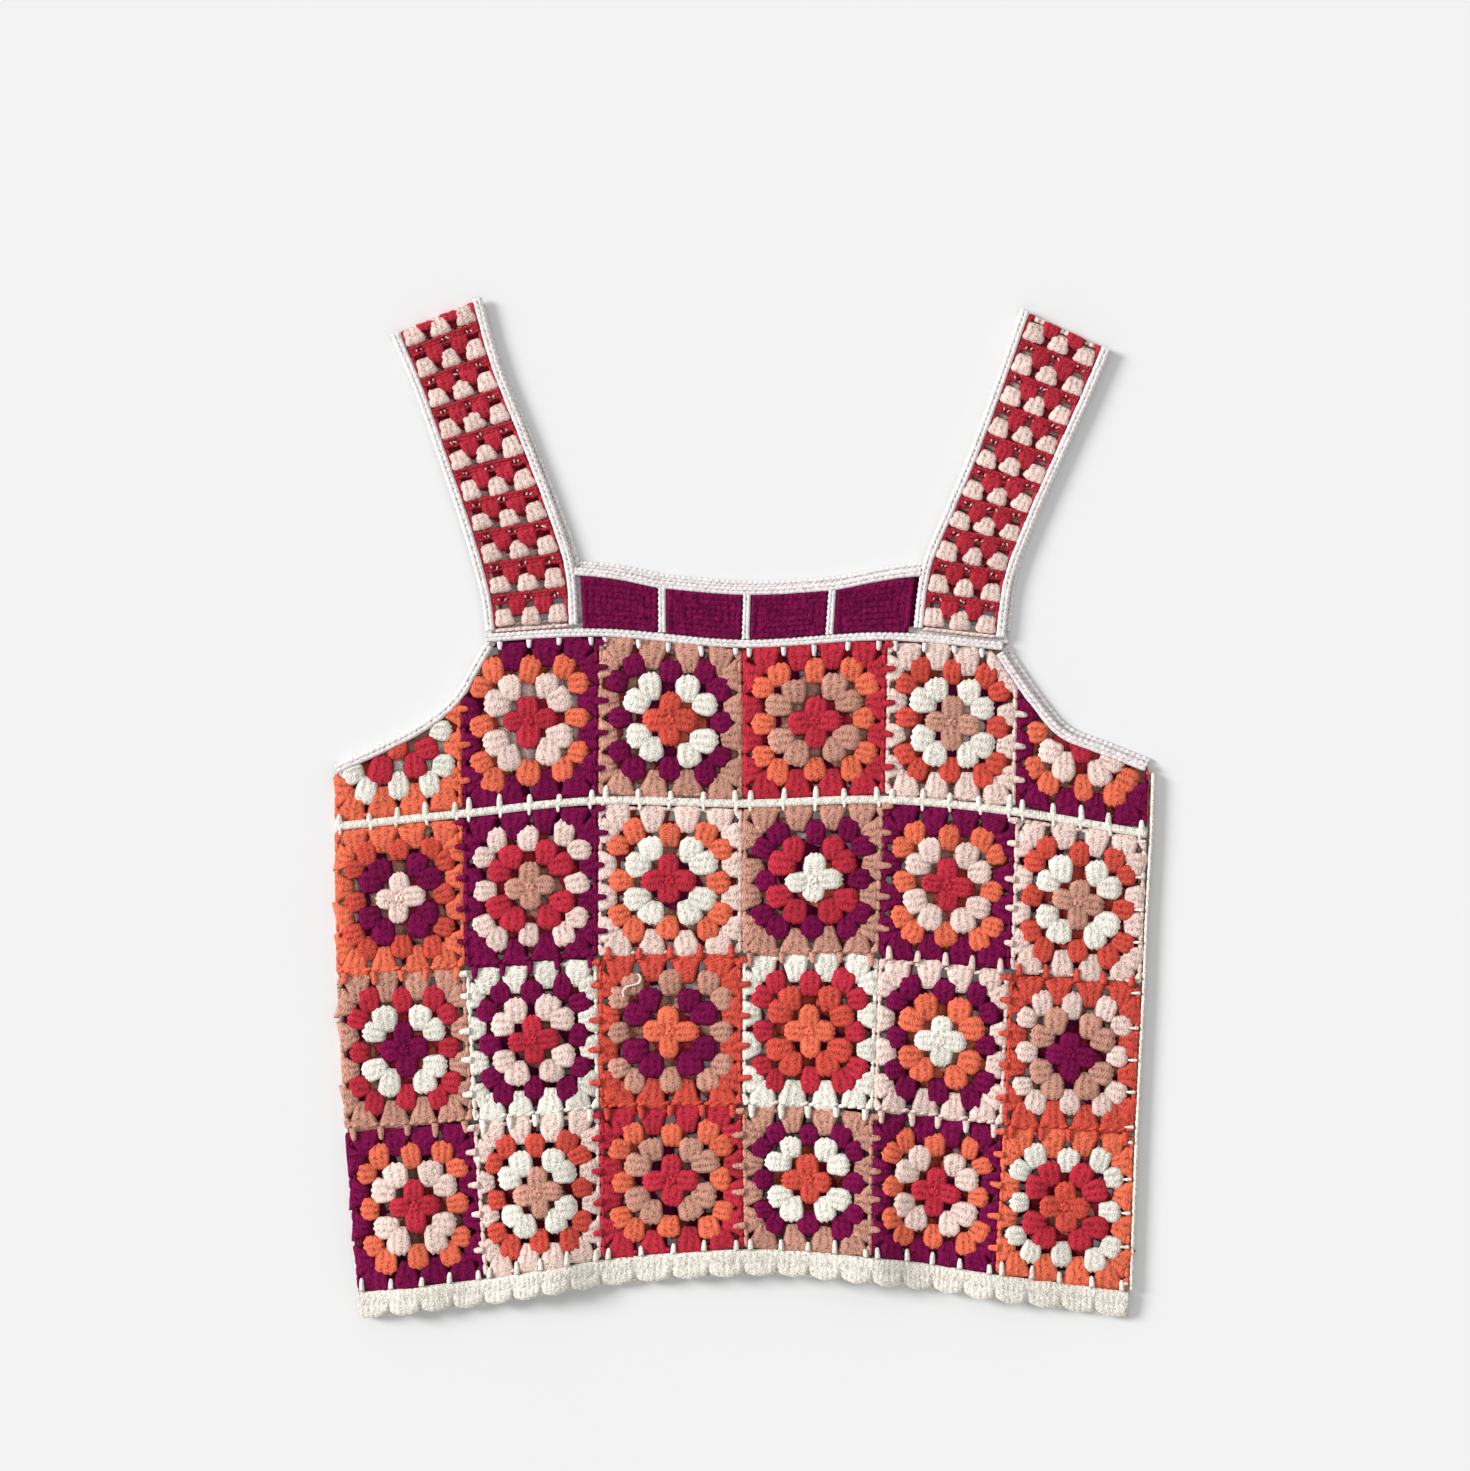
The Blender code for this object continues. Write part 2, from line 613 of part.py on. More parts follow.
def strap_piece(name, yarn, side, layer, first, last, holes=()):
    """One lengthwise piece of a strap run. The front run carries the turn over the shoulder."""
    nose = FOLD_NOSE / STRAP_LENGTH
    gap = SEAM_GAP / STRAP_LENGTH
    start = (0.0, 0.4 * nose, nose, nose + gap) if layer == "front" else (FOLD_END,)
    along = np.array([*start, *between(*RUN_STATIONS)])
    one = strap_points(side, layer, np.full(len(along), first), along)
    two = strap_points(side, layer, np.full(len(along), last), along)
    for path in (one, two):  # the base follows the joining row
        path[-1, 1] = seam_top(path[-1, 0], layer) + SEAM_GAP
    fold = two[2] - one[2]
    normal = np.array([-fold[1], fold[0]]) / np.linalg.norm(fold)
    normal *= np.sign(normal @ (one[2] - one[0]))

    def from_fold(points):
        return (points - one[2]) @ normal

    def floor(points):
        if layer == "back":
            return np.zeros(len(points))
        return np.where(from_fold(points) < 0.5 * SEAM_GAP, 0.0, FRONT_Z)

    def height(points):
        if layer == "back":
            return plain(points)
        drop = np.clip(-from_fold(points) / FOLD_NOSE, 0.0, 1.0)
        return FRONT_Z + WALL - floor(points) - FOLD_DROP * drop**2

    outline = ring(one, two[::-1])
    last_point = len(outline) - 1
    creases = [(k, last_point - k) for k in (1, 2, 3)] if layer == "front" else ()
    wall(name, yarn, outline, floor, height, holes=holes, creases=creases)


def strap_gaps(side):
    """Loops of the gaps between pink clusters, two in each pink row of the front run."""
    half_w, half_l = 0.5 * STRAP_GAP[0], 0.5 * STRAP_GAP[1]
    edges = np.array([0.0, INNER_EDGE])
    loops = []
    for pair in range(STRIPE_PAIRS):
        along = STRIPES[0] + (pair + PINK_ROW) / STRIPE_PAIRS * (STRIPES[1] - STRIPES[0])
        here, ahead = (strap_points(side, "front", edges, np.full(2, along + s)) for s in (0.0, 0.01))
        over = (here[1] - here[0]) / np.linalg.norm(here[1] - here[0])
        down = ahead.mean(axis=0) - here.mean(axis=0)
        down /= np.linalg.norm(down)
        for share in STRAP_GAP_SHARES:
            centre = here[0] + (here[1] - here[0]) * share
            loop = [centre + a * half_w * over + b * half_l * down for a, b in CORNER_SIGNS]
            loops.append(np.array(loop))
    return loops


def strap(side, layer):
    width_in = EDGING + SEAM_GAP
    holes = strap_gaps(side) if layer == "front" else ()
    strap_piece(f"strap_{side}_{layer}", "crimson_yarn", side, layer, width_in, -width_in, holes)
    strap_piece(f"strap_{side}_{layer}_edging_outer", "cream_yarn", side, layer, 0.0, EDGING)
    strap_piece(f"strap_{side}_{layer}_edging_inner", "cream_yarn", side, layer, -EDGING, INNER_EDGE)


def strap_side(side, layer, y):
    """x of a strap's inner edge at height y, in the run's lower part."""
    along = between(0.6, 1.0, 40)
    edge = strap_points(side, layer, np.full(len(along), INNER_EDGE), along)[::-1]
    return np.interp(y, edge[:, 1], edge[:, 0])


def yoke_points(layer, share, rise):
    """Plan points of the yoke.

    share runs from 0 at the left strap to 1 at the right one, and rise from 0 at the joining row to
    1 at the neckline.
    """
    share, rise = np.broadcast_arrays(np.asarray(share, float), np.asarray(rise, float))
    shift = np.asarray(BACK_SHIFT if layer == "back" else (0.0, 0.0))
    place = np.interp(share, NECKLINE["share"], np.arange(len(NECKLINE["share"])))
    high_y = smooth(NECKLINE["y"], place) + shift[1]
    first, last = (STRAPS[side]["inner_x"][-1] + shift[0] for side in ("left", "right"))
    low_y = seam_top(first + (last - first) * share, layer) + SEAM_GAP
    y = low_y + (high_y - low_y) * rise
    left_x, right_x = (strap_side(side, layer, y) for side in ("left", "right"))
    return np.stack([left_x + (right_x - left_x) * share, y], -1)


YOKE_WIDTH = STRAPS["right"]["inner_x"][-1] - STRAPS["left"]["inner_x"][-1]
YOKE_HEIGHT = 32.0
SIDE_CLEAR = 0.6 / YOKE_WIDTH  # gap to the strap edging, as a share of the yoke's width
TOOTH = 0.5 * DIVIDER / YOKE_WIDTH
TOP_RISE = 1.0 - DIVIDER / YOKE_HEIGHT
RISE_GAP = SEAM_GAP / YOKE_HEIGHT
SHARE_GAP = SEAM_GAP / YOKE_WIDTH


def yoke_frame_front():
    """A comb: the neck edging with a divider hanging between each two rectangles."""
    half_bay = 0.5 / YOKE_RECTANGLES
    shares, rises = [half_bay], [TOP_RISE]
    for divider in range(1, YOKE_RECTANGLES):
        middle = divider / YOKE_RECTANGLES
        shares += [middle - TOOTH, middle - TOOTH, middle + TOOTH, middle + TOOTH, middle + half_bay]
        rises += [TOP_RISE, 0.0, 0.0, TOP_RISE, TOP_RISE]
    lower = yoke_points("front", [SIDE_CLEAR, *shares, 1 - SIDE_CLEAR], [TOP_RISE, *rises, TOP_RISE])
    upper = yoke_points("front", between(SIDE_CLEAR, 1 - SIDE_CLEAR, NECK_POINTS), 1.0)
    outline = ring(lower, upper[::-1])
    wall("yoke_frame_front", "cream_yarn", outline, lambda p: underside("front", p), plain)


def yoke_plum(number):
    """A solid rectangle worked in the round, with a ridge round its middle."""
    first = max((number - 1) / YOKE_RECTANGLES + TOOTH + SHARE_GAP, SIDE_CLEAR)
    last = min(number / YOKE_RECTANGLES - TOOTH - SHARE_GAP, 1 - SIDE_CLEAR)

    def place(x, y):
        return yoke_points("front", first + (last - first) * x, (TOP_RISE - RISE_GAP) * y)

    def round_of(half):
        return np.array([place(0.5 + half[0] * x, 0.5 + half[1] * y) for x, y in CORNER_SIGNS])

    corners = ((0, 0), (0.25, 0), (0.5, 0), (0.75, 0), (1, 0), (1, 1), (0.5, 1), (0, 1))
    outline = np.array([place(x, y) for x, y in corners])
    middle = place(0.5, 0.5)[None]
    wall(
        f"yoke_plum_{number}",
        "plum_yarn",
        outline,
        lambda p: underside("front", p),
        plain,
        inner=round_of(PLUM_VALLEY),
        crests=np.concatenate([round_of(PLUM_RIDGE), middle]),
    )


def yoke_back():
    lower = yoke_points("back", between(SIDE_CLEAR, 1 - SIDE_CLEAR, 17), 0.0)
    upper = yoke_points("back", between(SIDE_CLEAR, 1 - SIDE_CLEAR, NECK_POINTS), 1.0)
    wall("yoke_back", "plum_yarn", ring(lower, upper[::-1]), lambda p: underside("back", p), plain)


# ---------------------------------------------------------------- the garment
for old in list(bpy.data.objects):
    bpy.data.objects.remove(old, do_unlink=True)

for row_number in range(ROWS):
    back_row(row_number)
    for column_number in range(COLUMNS):
        front_square(column_number, row_number)
for panel in ("back", "front"):
    waist_cord(panel)
    hem(panel)
    yoke_seam(panel)
    for hand in ("left", "right"):
        armhole_edging(hand, panel)
        strap(hand, panel)
for hand in ("left", "right"):
    side_seam(hand)
yoke_back()
yoke_frame_front()
for rectangle in range(1, YOKE_RECTANGLES + 1):
    yoke_plum(rectangle)
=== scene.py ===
import functools
import math

import bpy
import numpy as np
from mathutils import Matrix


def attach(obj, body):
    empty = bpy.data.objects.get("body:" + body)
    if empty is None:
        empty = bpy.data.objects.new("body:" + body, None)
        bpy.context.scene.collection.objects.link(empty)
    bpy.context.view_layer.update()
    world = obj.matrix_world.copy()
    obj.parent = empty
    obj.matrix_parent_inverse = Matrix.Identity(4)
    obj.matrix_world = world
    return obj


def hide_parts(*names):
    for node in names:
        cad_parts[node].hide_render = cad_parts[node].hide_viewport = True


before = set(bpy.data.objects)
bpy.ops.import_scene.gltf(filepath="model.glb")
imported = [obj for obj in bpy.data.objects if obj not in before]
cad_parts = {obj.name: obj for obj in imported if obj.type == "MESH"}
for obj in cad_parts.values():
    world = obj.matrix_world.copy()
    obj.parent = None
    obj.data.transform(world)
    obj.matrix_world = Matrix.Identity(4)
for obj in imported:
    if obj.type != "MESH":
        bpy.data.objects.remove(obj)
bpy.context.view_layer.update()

MM = 0.001  # plan sizes below are in millimetres and become metres as a mesh is made


def fill(inputs, values):
    """Give a node's inputs their values by name."""
    for name, value in values.items():
        inputs[name].default_value = value


# ---------------------------------------------------------------- table, light and camera
# The top lies on a plain pale table under a wide soft light from its upper left.
# The camera looks straight down from 2 m.
TABLE_HALF = 4.0  # half of the table's side, in metres
table = bpy.data.meshes.new("table")
table_corners = [(x * TABLE_HALF, y * TABLE_HALF, 0) for x, y in ((-1, -1), (1, -1), (1, 1), (-1, 1))]
table.from_pydata(table_corners, [], [(0, 1, 2, 3)])
table_top = bpy.data.objects.new("table", table)
bpy.context.collection.objects.link(table_top)
paint = bpy.data.materials.new("pale table paint")
paint.use_nodes = True
table_nodes, join = paint.node_tree.nodes, paint.node_tree.links.new
table_shader = table_nodes["Principled BSDF"]
grain = table_nodes.new("ShaderNodeTexNoise")
place = table_nodes.new("ShaderNodeTexCoord")
shade_ramp = table_nodes.new("ShaderNodeValToRGB")
grain.inputs["Scale"].default_value = 3.0
for stop, grey in zip(shade_ramp.color_ramp.elements, (0.872, 0.882)):
    stop.color = (grey, grey, grey, 1)
join(place.outputs["Object"], grain.inputs["Vector"])
join(grain.outputs["Fac"], shade_ramp.inputs["Fac"])
join(shade_ramp.outputs["Color"], table_shader.inputs["Base Color"])
fill(table_shader.inputs, {"Roughness": 0.85, "Specular IOR Level": 0.1})
table.materials.append(paint)

sky = bpy.data.worlds.new("studio")
bpy.context.scene.world = sky
sky.use_nodes = True
fill(sky.node_tree.nodes["Background"].inputs, {"Color": (1.0, 1.0, 1.0, 1), "Strength": 0.57})

lamp_data = bpy.data.lights.new("soft lamp", "SUN")
lamp_data.angle = math.radians(20.0)
lamp_data.energy = 3.2
lamp = bpy.data.objects.new("soft lamp", lamp_data)
lamp.rotation_euler = (math.radians(-17.0), math.radians(-62.5), 0.0)
lamp.location = (-1.0, 0.7, 1.5)
bpy.context.collection.objects.link(lamp)

lens = bpy.data.cameras.new("camera")
lens.sensor_width = 36.0
lens.lens = 90.3
camera = bpy.data.objects.new("camera", lens)
camera.location = (-0.0054, 0.0393, 2.0)
bpy.context.collection.objects.link(camera)
bpy.context.scene.camera = camera
bpy.context.scene.view_settings.view_transform = "Standard"

# ---------------------------------------------------------------- back panel
# Four rows of six granny squares in cotton yarn, under the front panel and a little up and right of it.
# Each cluster is three treble stitches worked in one place. The back's are plain rounded strands, darkened
# with painted shade for lying under the front panel.
COLUMNS, ROWS = 6, 4
SQUARE_W, SQUARE_H = 73.0, 83.0
SEAM_GAP = 0.3
CORD = 3.8
LEFT_TUCK = 2.8 / SQUARE_W
LAY_CENTRE = (1.6, -0.5)
SEAM_U, SEAM_V = 0.5 * SEAM_GAP / SQUARE_W, 0.5 * SEAM_GAP / SQUARE_H
CORD_V = 0.5 * CORD / SQUARE_H + 2 * SEAM_V
BACK_SHIFT, BACK_SHIFT_ROWS = (3.0, 3.5), 1.6
BACK_DRIFT = np.array([0.14, -0.12])  # how far the middle of each back square lies off its centre
SEAM_X = (
    (-220.0, -152.5, -77.5, 0.0, 78.5, 149.5, 220.0),
    (-220.5, -151.0, -78.0, 0.5, 77.0, 148.0, 219.0),
    (-219.5, -149.5, -78.0, 0.0, 74.0, 145.0, 216.0),
    (-215.0, -145.5, -77.0, 0.0, 71.0, 141.0, 212.0),
    (-208.0, -139.5, -76.0, 1.0, 70.0, 136.5, 209.0),
)
SEAM_Y = (
    (82.5, 88.0, 92.0, 86.0, 90.0, 84.0, 79.5),
    (-10.5, -3.5, 3.5, 2.0, 4.0, -2.5, -14.5),
    (-91.0, -87.5, -81.5, -80.0, -80.5, -89.0, -96.5),
    (-175.0, -170.5, -164.0, -162.0, -164.5, -173.0, -177.0),
    (-262.0, -254.5, -244.5, -238.5, -242.5, -252.0, -262.0),
)
ARMHOLES = {  # from the side seam up: squares in from it, and rows down from the top of row a
    "left": ((0.0, 0.35, 0.67, 0.93, 1.09, 1.185), (0.64, 0.55, 0.45, 0.31, 0.12, 0.0)),
    "right": ((0.0, 0.30, 0.62, 0.81, 0.99, 1.115), (0.59, 0.53, 0.46, 0.32, 0.14, 0.0)),
}
EDGING = 5.0
TALL = {"front": 2.9, "back": 2.2}  # how high the yarn stands on each panel
YARNS = {
    "plum": (0.210, 0.006, 0.068),
    "crimson": (0.580, 0.029, 0.055),
    "brick": (0.720, 0.088, 0.058),
    "orange": (0.940, 0.182, 0.094),
    "pink": (0.955, 0.705, 0.630),
    "tan": (0.660, 0.325, 0.240),
    "cream": (0.958, 0.898, 0.795),
    "white": (0.895, 0.838, 0.826),
}


def smooth(values, place):
    """A Catmull-Rom curve through evenly spaced values, read at place (0 at the first value)."""
    values = np.asarray(values, float)
    padded = np.concatenate([[2 * values[0] - values[1]], values, [2 * values[-1] - values[-2]]])
    place = np.clip(place, 0.0, len(values) - 1.0)
    first = np.minimum(place.astype(int), len(values) - 2)
    t = place - first
    a, b, c, d = (padded[first + k] for k in range(4))
    return b + 0.5 * t * (c - a + t * (2 * a - 5 * b + 4 * c - d + t * (3 * (b - c) + d - a)))


def pairs(x, y):
    """Points from their x and y, or any other two values side by side."""
    return np.stack(np.broadcast_arrays(x, y), -1)


def panel(layer, u, v):
    """Plan points u squares from the left side and v rows down.

    They are smooth along the seams and straight between one seam and the next. The back panel is moved
    by its shift times 1 - v / 1.6, where that is above zero.
    """
    u, v = np.broadcast_arrays(np.asarray(u, float), np.asarray(v, float))
    row = np.clip(v.astype(int), 0, ROWS - 1)
    both = []
    for seams in (SEAM_X, SEAM_Y):
        lines = np.stack([smooth(line, u) for line in seams])
        above = np.take_along_axis(lines, row[None], 0)[0]
        below = np.take_along_axis(lines, row[None] + 1, 0)[0]
        both.append(above + (below - above) * (v - row))
    points = pairs(*both)
    if layer == "back":
        points = points + np.asarray(BACK_SHIFT) * np.clip(1 - v / BACK_SHIFT_ROWS, 0, 1)[..., None]
    return points


def left_of(way):
    """The directions a quarter turn to the left of directions in plan."""
    return pairs(-way[:, 1], way[:, 0])


def distances(path):
    """How far along an open path each of its points lies."""
    return np.concatenate([[0.0], np.cumsum(np.linalg.norm(np.diff(path, axis=0), axis=1))])


def armhole_path(side, layer, inset):
    """Armhole edge from the side seam to the joining row, moved inset into the cloth."""
    squares_in, rows_down = ARMHOLES[side]
    place = np.linspace(0.0, len(rows_down) - 1.0, 60)
    inwards = smooth(squares_in, place)
    edge = panel(layer, inwards if side == "left" else COLUMNS - inwards, smooth(rows_down, place))
    along = np.gradient(edge, axis=0)
    along /= np.linalg.norm(along, axis=1)[:, None]
    return edge + (-inset if side == "left" else inset) * left_of(along)


def past_armhole(points, side, layer, inset):
    """How far each point lies outside the armhole's edge, and the edge's point nearest to it."""
    path = armhole_path(side, layer, inset)
    first, step = path[:-1], np.diff(path, axis=0)
    away = points[:, None] - first
    share = np.clip((away * step).sum(-1) / (step * step).sum(-1), 0.0, 1.0)
    near = first + step * share[..., None]
    gap = np.linalg.norm(points[:, None] - near, axis=-1)
    best = gap.argmin(1)
    row = np.arange(len(points))
    turn = step[best, 0] * away[row, best, 1] - step[best, 1] * away[row, best, 0]
    outside = turn > 0 if side == "left" else turn < 0
    return np.where(outside, gap[row, best], -gap[row, best]), near[row, best]


def yarn_group():
    """Yarn's colour, roughness and height.

    Colour is the yarn's own, times each stitch's tone, a soft mottle and fine fibres, with painted shade on
    top: darker in the grooves between the wraps of the stitch, in short slits along the grooves between
    loops and where the crevice attribute is low.
    Height is the wraps, |sin| of chevrons along each ridge of a strand, plus the fibres and the mottle.
    """
    group = bpy.data.node_groups.new("yarn", "ShaderNodeTree")
    face = group.interface
    for way, kind, names in (
            ("INPUT", "Color", ("Yarn",)), ("INPUT", "Float", ("Crevice", "Mottle", "Slits")),
            ("OUTPUT", "Color", ("Colour",)), ("OUTPUT", "Float", ("Roughness", "Height"))):
        for name in names:
            face.new_socket(name, in_out=way, socket_type=f"NodeSocket{kind}")
    nodes, link = group.nodes, group.links.new

    def node(kind, **values):
        made = nodes.new(kind)
        for key, value in values.items():
            setattr(made, key, value)
        return made

    def maths(operation, *values):
        made = node("ShaderNodeMath", operation=operation)
        for socket, value in zip(made.inputs, values):
            if isinstance(value, (int, float)):
                socket.default_value = value
            else:
                link(value, socket)
        return made.outputs[0]

    plus, minus, times, times_plus = (
        functools.partial(maths, kind) for kind in ("ADD", "SUBTRACT", "MULTIPLY", "MULTIPLY_ADD"))

    def noise(vector, scale, detail, **values):
        made = node("ShaderNodeTexNoise", **values)
        fill(made.inputs, {"Scale": scale, "Detail": detail})
        link(vector, made.inputs["Vector"])
        return made.outputs["Fac"]

    inputs, put = node("NodeGroupInput").outputs, node("NodeGroupOutput").inputs
    place = node("ShaderNodeTexCoord").outputs["Object"]
    soft, fibre, pick = (noise(place, *kind) for kind in ((430.0, 2.0), (2200.0, 3.0), (900.0, 0.0)))
    shade = node("ShaderNodeAttribute", attribute_name="crevice").outputs["Fac"]
    tone = node("ShaderNodeAttribute", attribute_name="tone").outputs["Fac"]
    strand = node("ShaderNodeUVMap", uv_map="strand").outputs["UV"]
    split = node("ShaderNodeSeparateXYZ")
    link(strand, split.inputs[0])
    bent = times_plus(minus(soft, 0.5), 1.1, split.outputs["X"])
    away = maths("ABSOLUTE", minus(bent, maths("ROUND", bent)))
    stretched = node("ShaderNodeVectorMath", operation="MULTIPLY")
    link(strand, stretched.inputs[0])
    stretched.inputs[1].default_value = (1.7, 0.62, 0.0)
    slits = noise(stretched.outputs[0], 1.0, 1.0, noise_dimensions="2D")
    turn = times_plus(split.outputs["Y"], 1.9, times_plus(away, 2.0, times(soft, 10.0)))
    wrap = maths("ABSOLUTE", maths("SINE", turn))
    mottled = times(minus(soft, 0.5), inputs["Mottle"])
    fuzz = times(minus(fibre, 0.5), 0.7)
    # wraps: painted shade, lighter on each wrap of the strand and darker in the grooves between wraps
    wraps = times(minus(maths("MINIMUM", wrap, 0.6), 0.4), 0.4)
    # light: the yarn's own mottle and fibres plus the painted shade of the wraps
    light = plus(plus(plus(1.08, mottled), fuzz), wraps)
    # slit: short slits along the grooves between loops, sunk in the height and darkened by painted shade
    slit = node("ShaderNodeMapRange", interpolation_type="SMOOTHSTEP")
    link(times_plus(away, 0.65, times_plus(minus(pick, 0.5), 0.5, slits)), slit.inputs["Value"])
    fill(slit.inputs, {"From Min": 0.82, "From Max": 0.95, "To Min": 0.0, "To Max": 1.0})
    painted_slit_shade = minus(1.0, times(slit.outputs["Result"], inputs["Slits"]))
    # depth: painted shade from the crevice attribute, never darker than the Crevice input
    depth = times_plus(shade, minus(1.0, inputs["Crevice"]), inputs["Crevice"])
    scaled = node("ShaderNodeVectorMath", operation="SCALE")
    link(inputs["Yarn"], scaled.inputs[0])
    link(times(times(times(light, tone), depth), painted_slit_shade), scaled.inputs["Scale"])
    link(scaled.outputs[0], put["Colour"])
    link(times_plus(fibre, 0.2, 0.78), put["Roughness"])
    height = times_plus(slit.outputs["Result"], -0.6, times_plus(wrap, 0.45, times(fibre, 0.6)))
    link(times_plus(soft, 2.6, height), put["Height"])
    return group


yarn_look = yarn_group()
yarn_made = {}


def yarn(name):
    """The material of one colour of cotton yarn."""
    if name not in yarn_made:
        made = bpy.data.materials.new(f"{name} yarn")
        made.use_nodes = True
        nodes, link = made.node_tree.nodes, made.node_tree.links.new
        shader = nodes["Principled BSDF"]
        look = nodes.new("ShaderNodeGroup")
        look.node_tree = yarn_look
        # Crevice is how light the darkest painted shade of the crevice attribute stays, higher for cream and
        # pink; Slits is how dark the painted slits are, weaker for pink, cream and white.
        fill(look.inputs, {
            "Yarn": (*YARNS[name], 1.0),
            "Crevice": {"cream": 0.4, "pink": 0.4}.get(name, 0.25),
            "Mottle": {"plum": 1.5, "cream": 0.3, "white": 0.3}.get(name, 0.6),
            "Slits": {"pink": 0.3, "cream": 0.2, "white": 0.2}.get(name, 0.42),
        })
        bump = nodes.new("ShaderNodeBump")
        fill(bump.inputs, {"Strength": 0.55 if name == "white" else 0.85, "Distance": 0.0007})
        link(look.outputs["Colour"], shader.inputs["Base Color"])
        link(look.outputs["Roughness"], shader.inputs["Roughness"])
        link(look.outputs["Height"], bump.inputs["Height"])
        link(bump.outputs["Normal"], shader.inputs["Normal"])
        fill(shader.inputs, {
            "Specular IOR Level": 0.08 if name == "plum" else 0.2,
            "Sheen Weight": 0.1,
            "Sheen Roughness": 0.45,
            "Sheen Tint": (*YARNS[name], 1.0),
        })
        yarn_made[name] = made
    return yarn_made[name]


# Places along a stitch, and how wide and how high it is there.
LONG = ((0.0, 0.14, 0.5, 0.86, 1.0), (0.5, 0.9, 1.0, 0.9, 0.5), (0.5, 0.9, 1.0, 0.9, 0.5))
SHORT = ((0.0, 0.25, 0.75, 1.0), (0.5, 0.97, 0.97, 0.5), (0.5, 0.97, 0.97, 0.5))
FAN = (
    (0.0, 0.1, 0.35, 0.6, 0.8, 1.0), (0.8, 0.96, 0.98, 1.02, 1.09, 1.05), (0.55, 0.85, 0.95, 1.0, 0.95, 0.55))
POPCORN = (
    (0.0, 0.12, 0.3, 0.46, 0.62, 0.86, 1.0), (0.76, 0.97, 1.0, 0.9, 1.0, 1.0, 0.86),
    (0.55, 0.9, 1.0, 0.94, 1.0, 0.95, 0.5))
TONGUE = ((0.0, 0.2, 0.6, 0.86, 1.0), (1.0, 1.0, 1.0, 0.9, 0.5), (0.9, 1.0, 1.0, 0.9, 0.5))
BELL = (
    (0.0, 0.12, 0.36, 0.62, 0.84, 1.0), (0.8, 0.95, 1.0, 1.0, 0.94, 0.64), (0.55, 0.85, 0.95, 1.0, 0.95, 0.5))
BLOCK = (
    (0.0, 0.08, 0.3, 0.6, 0.9, 1.0), (0.8, 0.96, 1.0, 1.0, 1.0, 0.86), (0.55, 0.88, 0.98, 1.0, 0.95, 0.5))
# Points round a strand: across, up, how far each lags behind at its head, and how open it is to light,
# which sets the painted shade of the yarn there (darkest on the underside and in the grooves).
# A single strand is round. Three trebles worked in one place are three ridges on a flat underside.
TURNS = math.pi / 3 * np.arange(6) - 0.5 * math.pi
ROUND = np.stack([np.cos(TURNS), np.sin(TURNS), 0 * TURNS, np.minimum(0.75 + 0.5 * np.sin(TURNS), 1.0)])
TREBLES = np.array([
    (-0.7, 0.0, 0.7, 1.0, 0.9, 0.62, 0.333, 0.0, -0.333, -0.62, -0.9, -1.0),
    (-1.0, -1.0, -1.0, -0.5, 0.45, 0.9, 0.82, 1.0, 0.82, 0.9, 0.45, -0.5),
    (0.5, 0.2, 0.5, 1.0, 0.7, 0.15, 0.4, 0.0, 0.4, 0.15, 0.7, 1.0),
    (0.0, 0.0, 0.0, 0.2, 0.7, 1.0, 0.7, 1.0, 0.7, 1.0, 0.7, 0.2)])


def stitches(start, end, wide, thick, low, shape=LONG, section=ROUND, arch=0.0, bend=0.0, deep=0.0, seed=1):
    """Closed strands from start to end (N, 2), in plan.

    At place t along a strand its ring is the section, wide(t) across and thick(t) high, times the width
    and height of its shape. wide, thick and low may each be a pair: the value at the start and at the end.
    arch lifts the middle by arch sin(pi t). bend draws the head's lagging points back by a share of the
    length. Trebles are a little uneven. The crevice value is painted shade: the section's openness,
    darker near the start, with the grooves fading out towards the head, and the whole strand darker by
    the share deep.
    """
    start, end = np.asarray(start, float), np.asarray(end, float)
    count = len(start)
    t, across_full, high_full = (np.array(column) for column in shape)
    across, up, lag, light = section
    swell = np.sin(math.pi * t)

    def run(value):
        pair = value if isinstance(value, tuple) else (value, value)
        one, two = (np.broadcast_to(np.asarray(v, float), (count,))[:, None] for v in pair)
        return one + (two - one) * t

    step = end - start
    length = np.linalg.norm(step, axis=1)
    ahead = step / np.maximum(length, 1e-6)[:, None]
    side = -left_of(ahead)
    middle = start[:, None] + step[:, None] * t[:, None]
    half_w, half_h = 0.5 * run(wide) * across_full, 0.5 * run(thick) * high_full
    centre = run(low) + half_h + arch * swell
    back = (bend * t ** 4)[:, None] * lag
    xy = middle[:, :, None] + side[:, None, None] * (half_w[..., None] * across)[..., None]
    xy = xy - step[:, None, None] * back[..., None]
    z = centre[..., None] + half_h[..., None] * up
    chance = np.random.default_rng(seed)
    if section is TREBLES:
        z = z + 0.17 * chance.standard_normal(z.shape).clip(-2, 1.5) * (up > 0)
        xy = xy + 0.16 * chance.standard_normal(xy.shape).clip(-2, 2)
    tone = 1.0 + 0.06 * chance.standard_normal(count).clip(-2, 2)
    groove = 1.0 - (1.0 - light) * np.clip(1.7 - 1.4 * t, 0.35, 1.4)[:, None]
    crevice = np.clip(0.65 + 2.4 * t, 0, 1)[:, None] * np.clip(groove, 0, 1) * (1.0 - deep)
    ridges = 3 if section is TREBLES else 1
    along = (length * (1 + 0.2 * chance.random(count)))[:, None] * t + 9.0 * chance.random(count)[:, None]
    return {
        "xyz": np.concatenate([xy, z[..., None]], -1),
        "crevice": np.broadcast_to(crevice, z.shape),
        "tone": np.broadcast_to(tone[:, None, None], z.shape),
        "strand": pairs(0.5 * ridges * across, along[..., None]),
    }


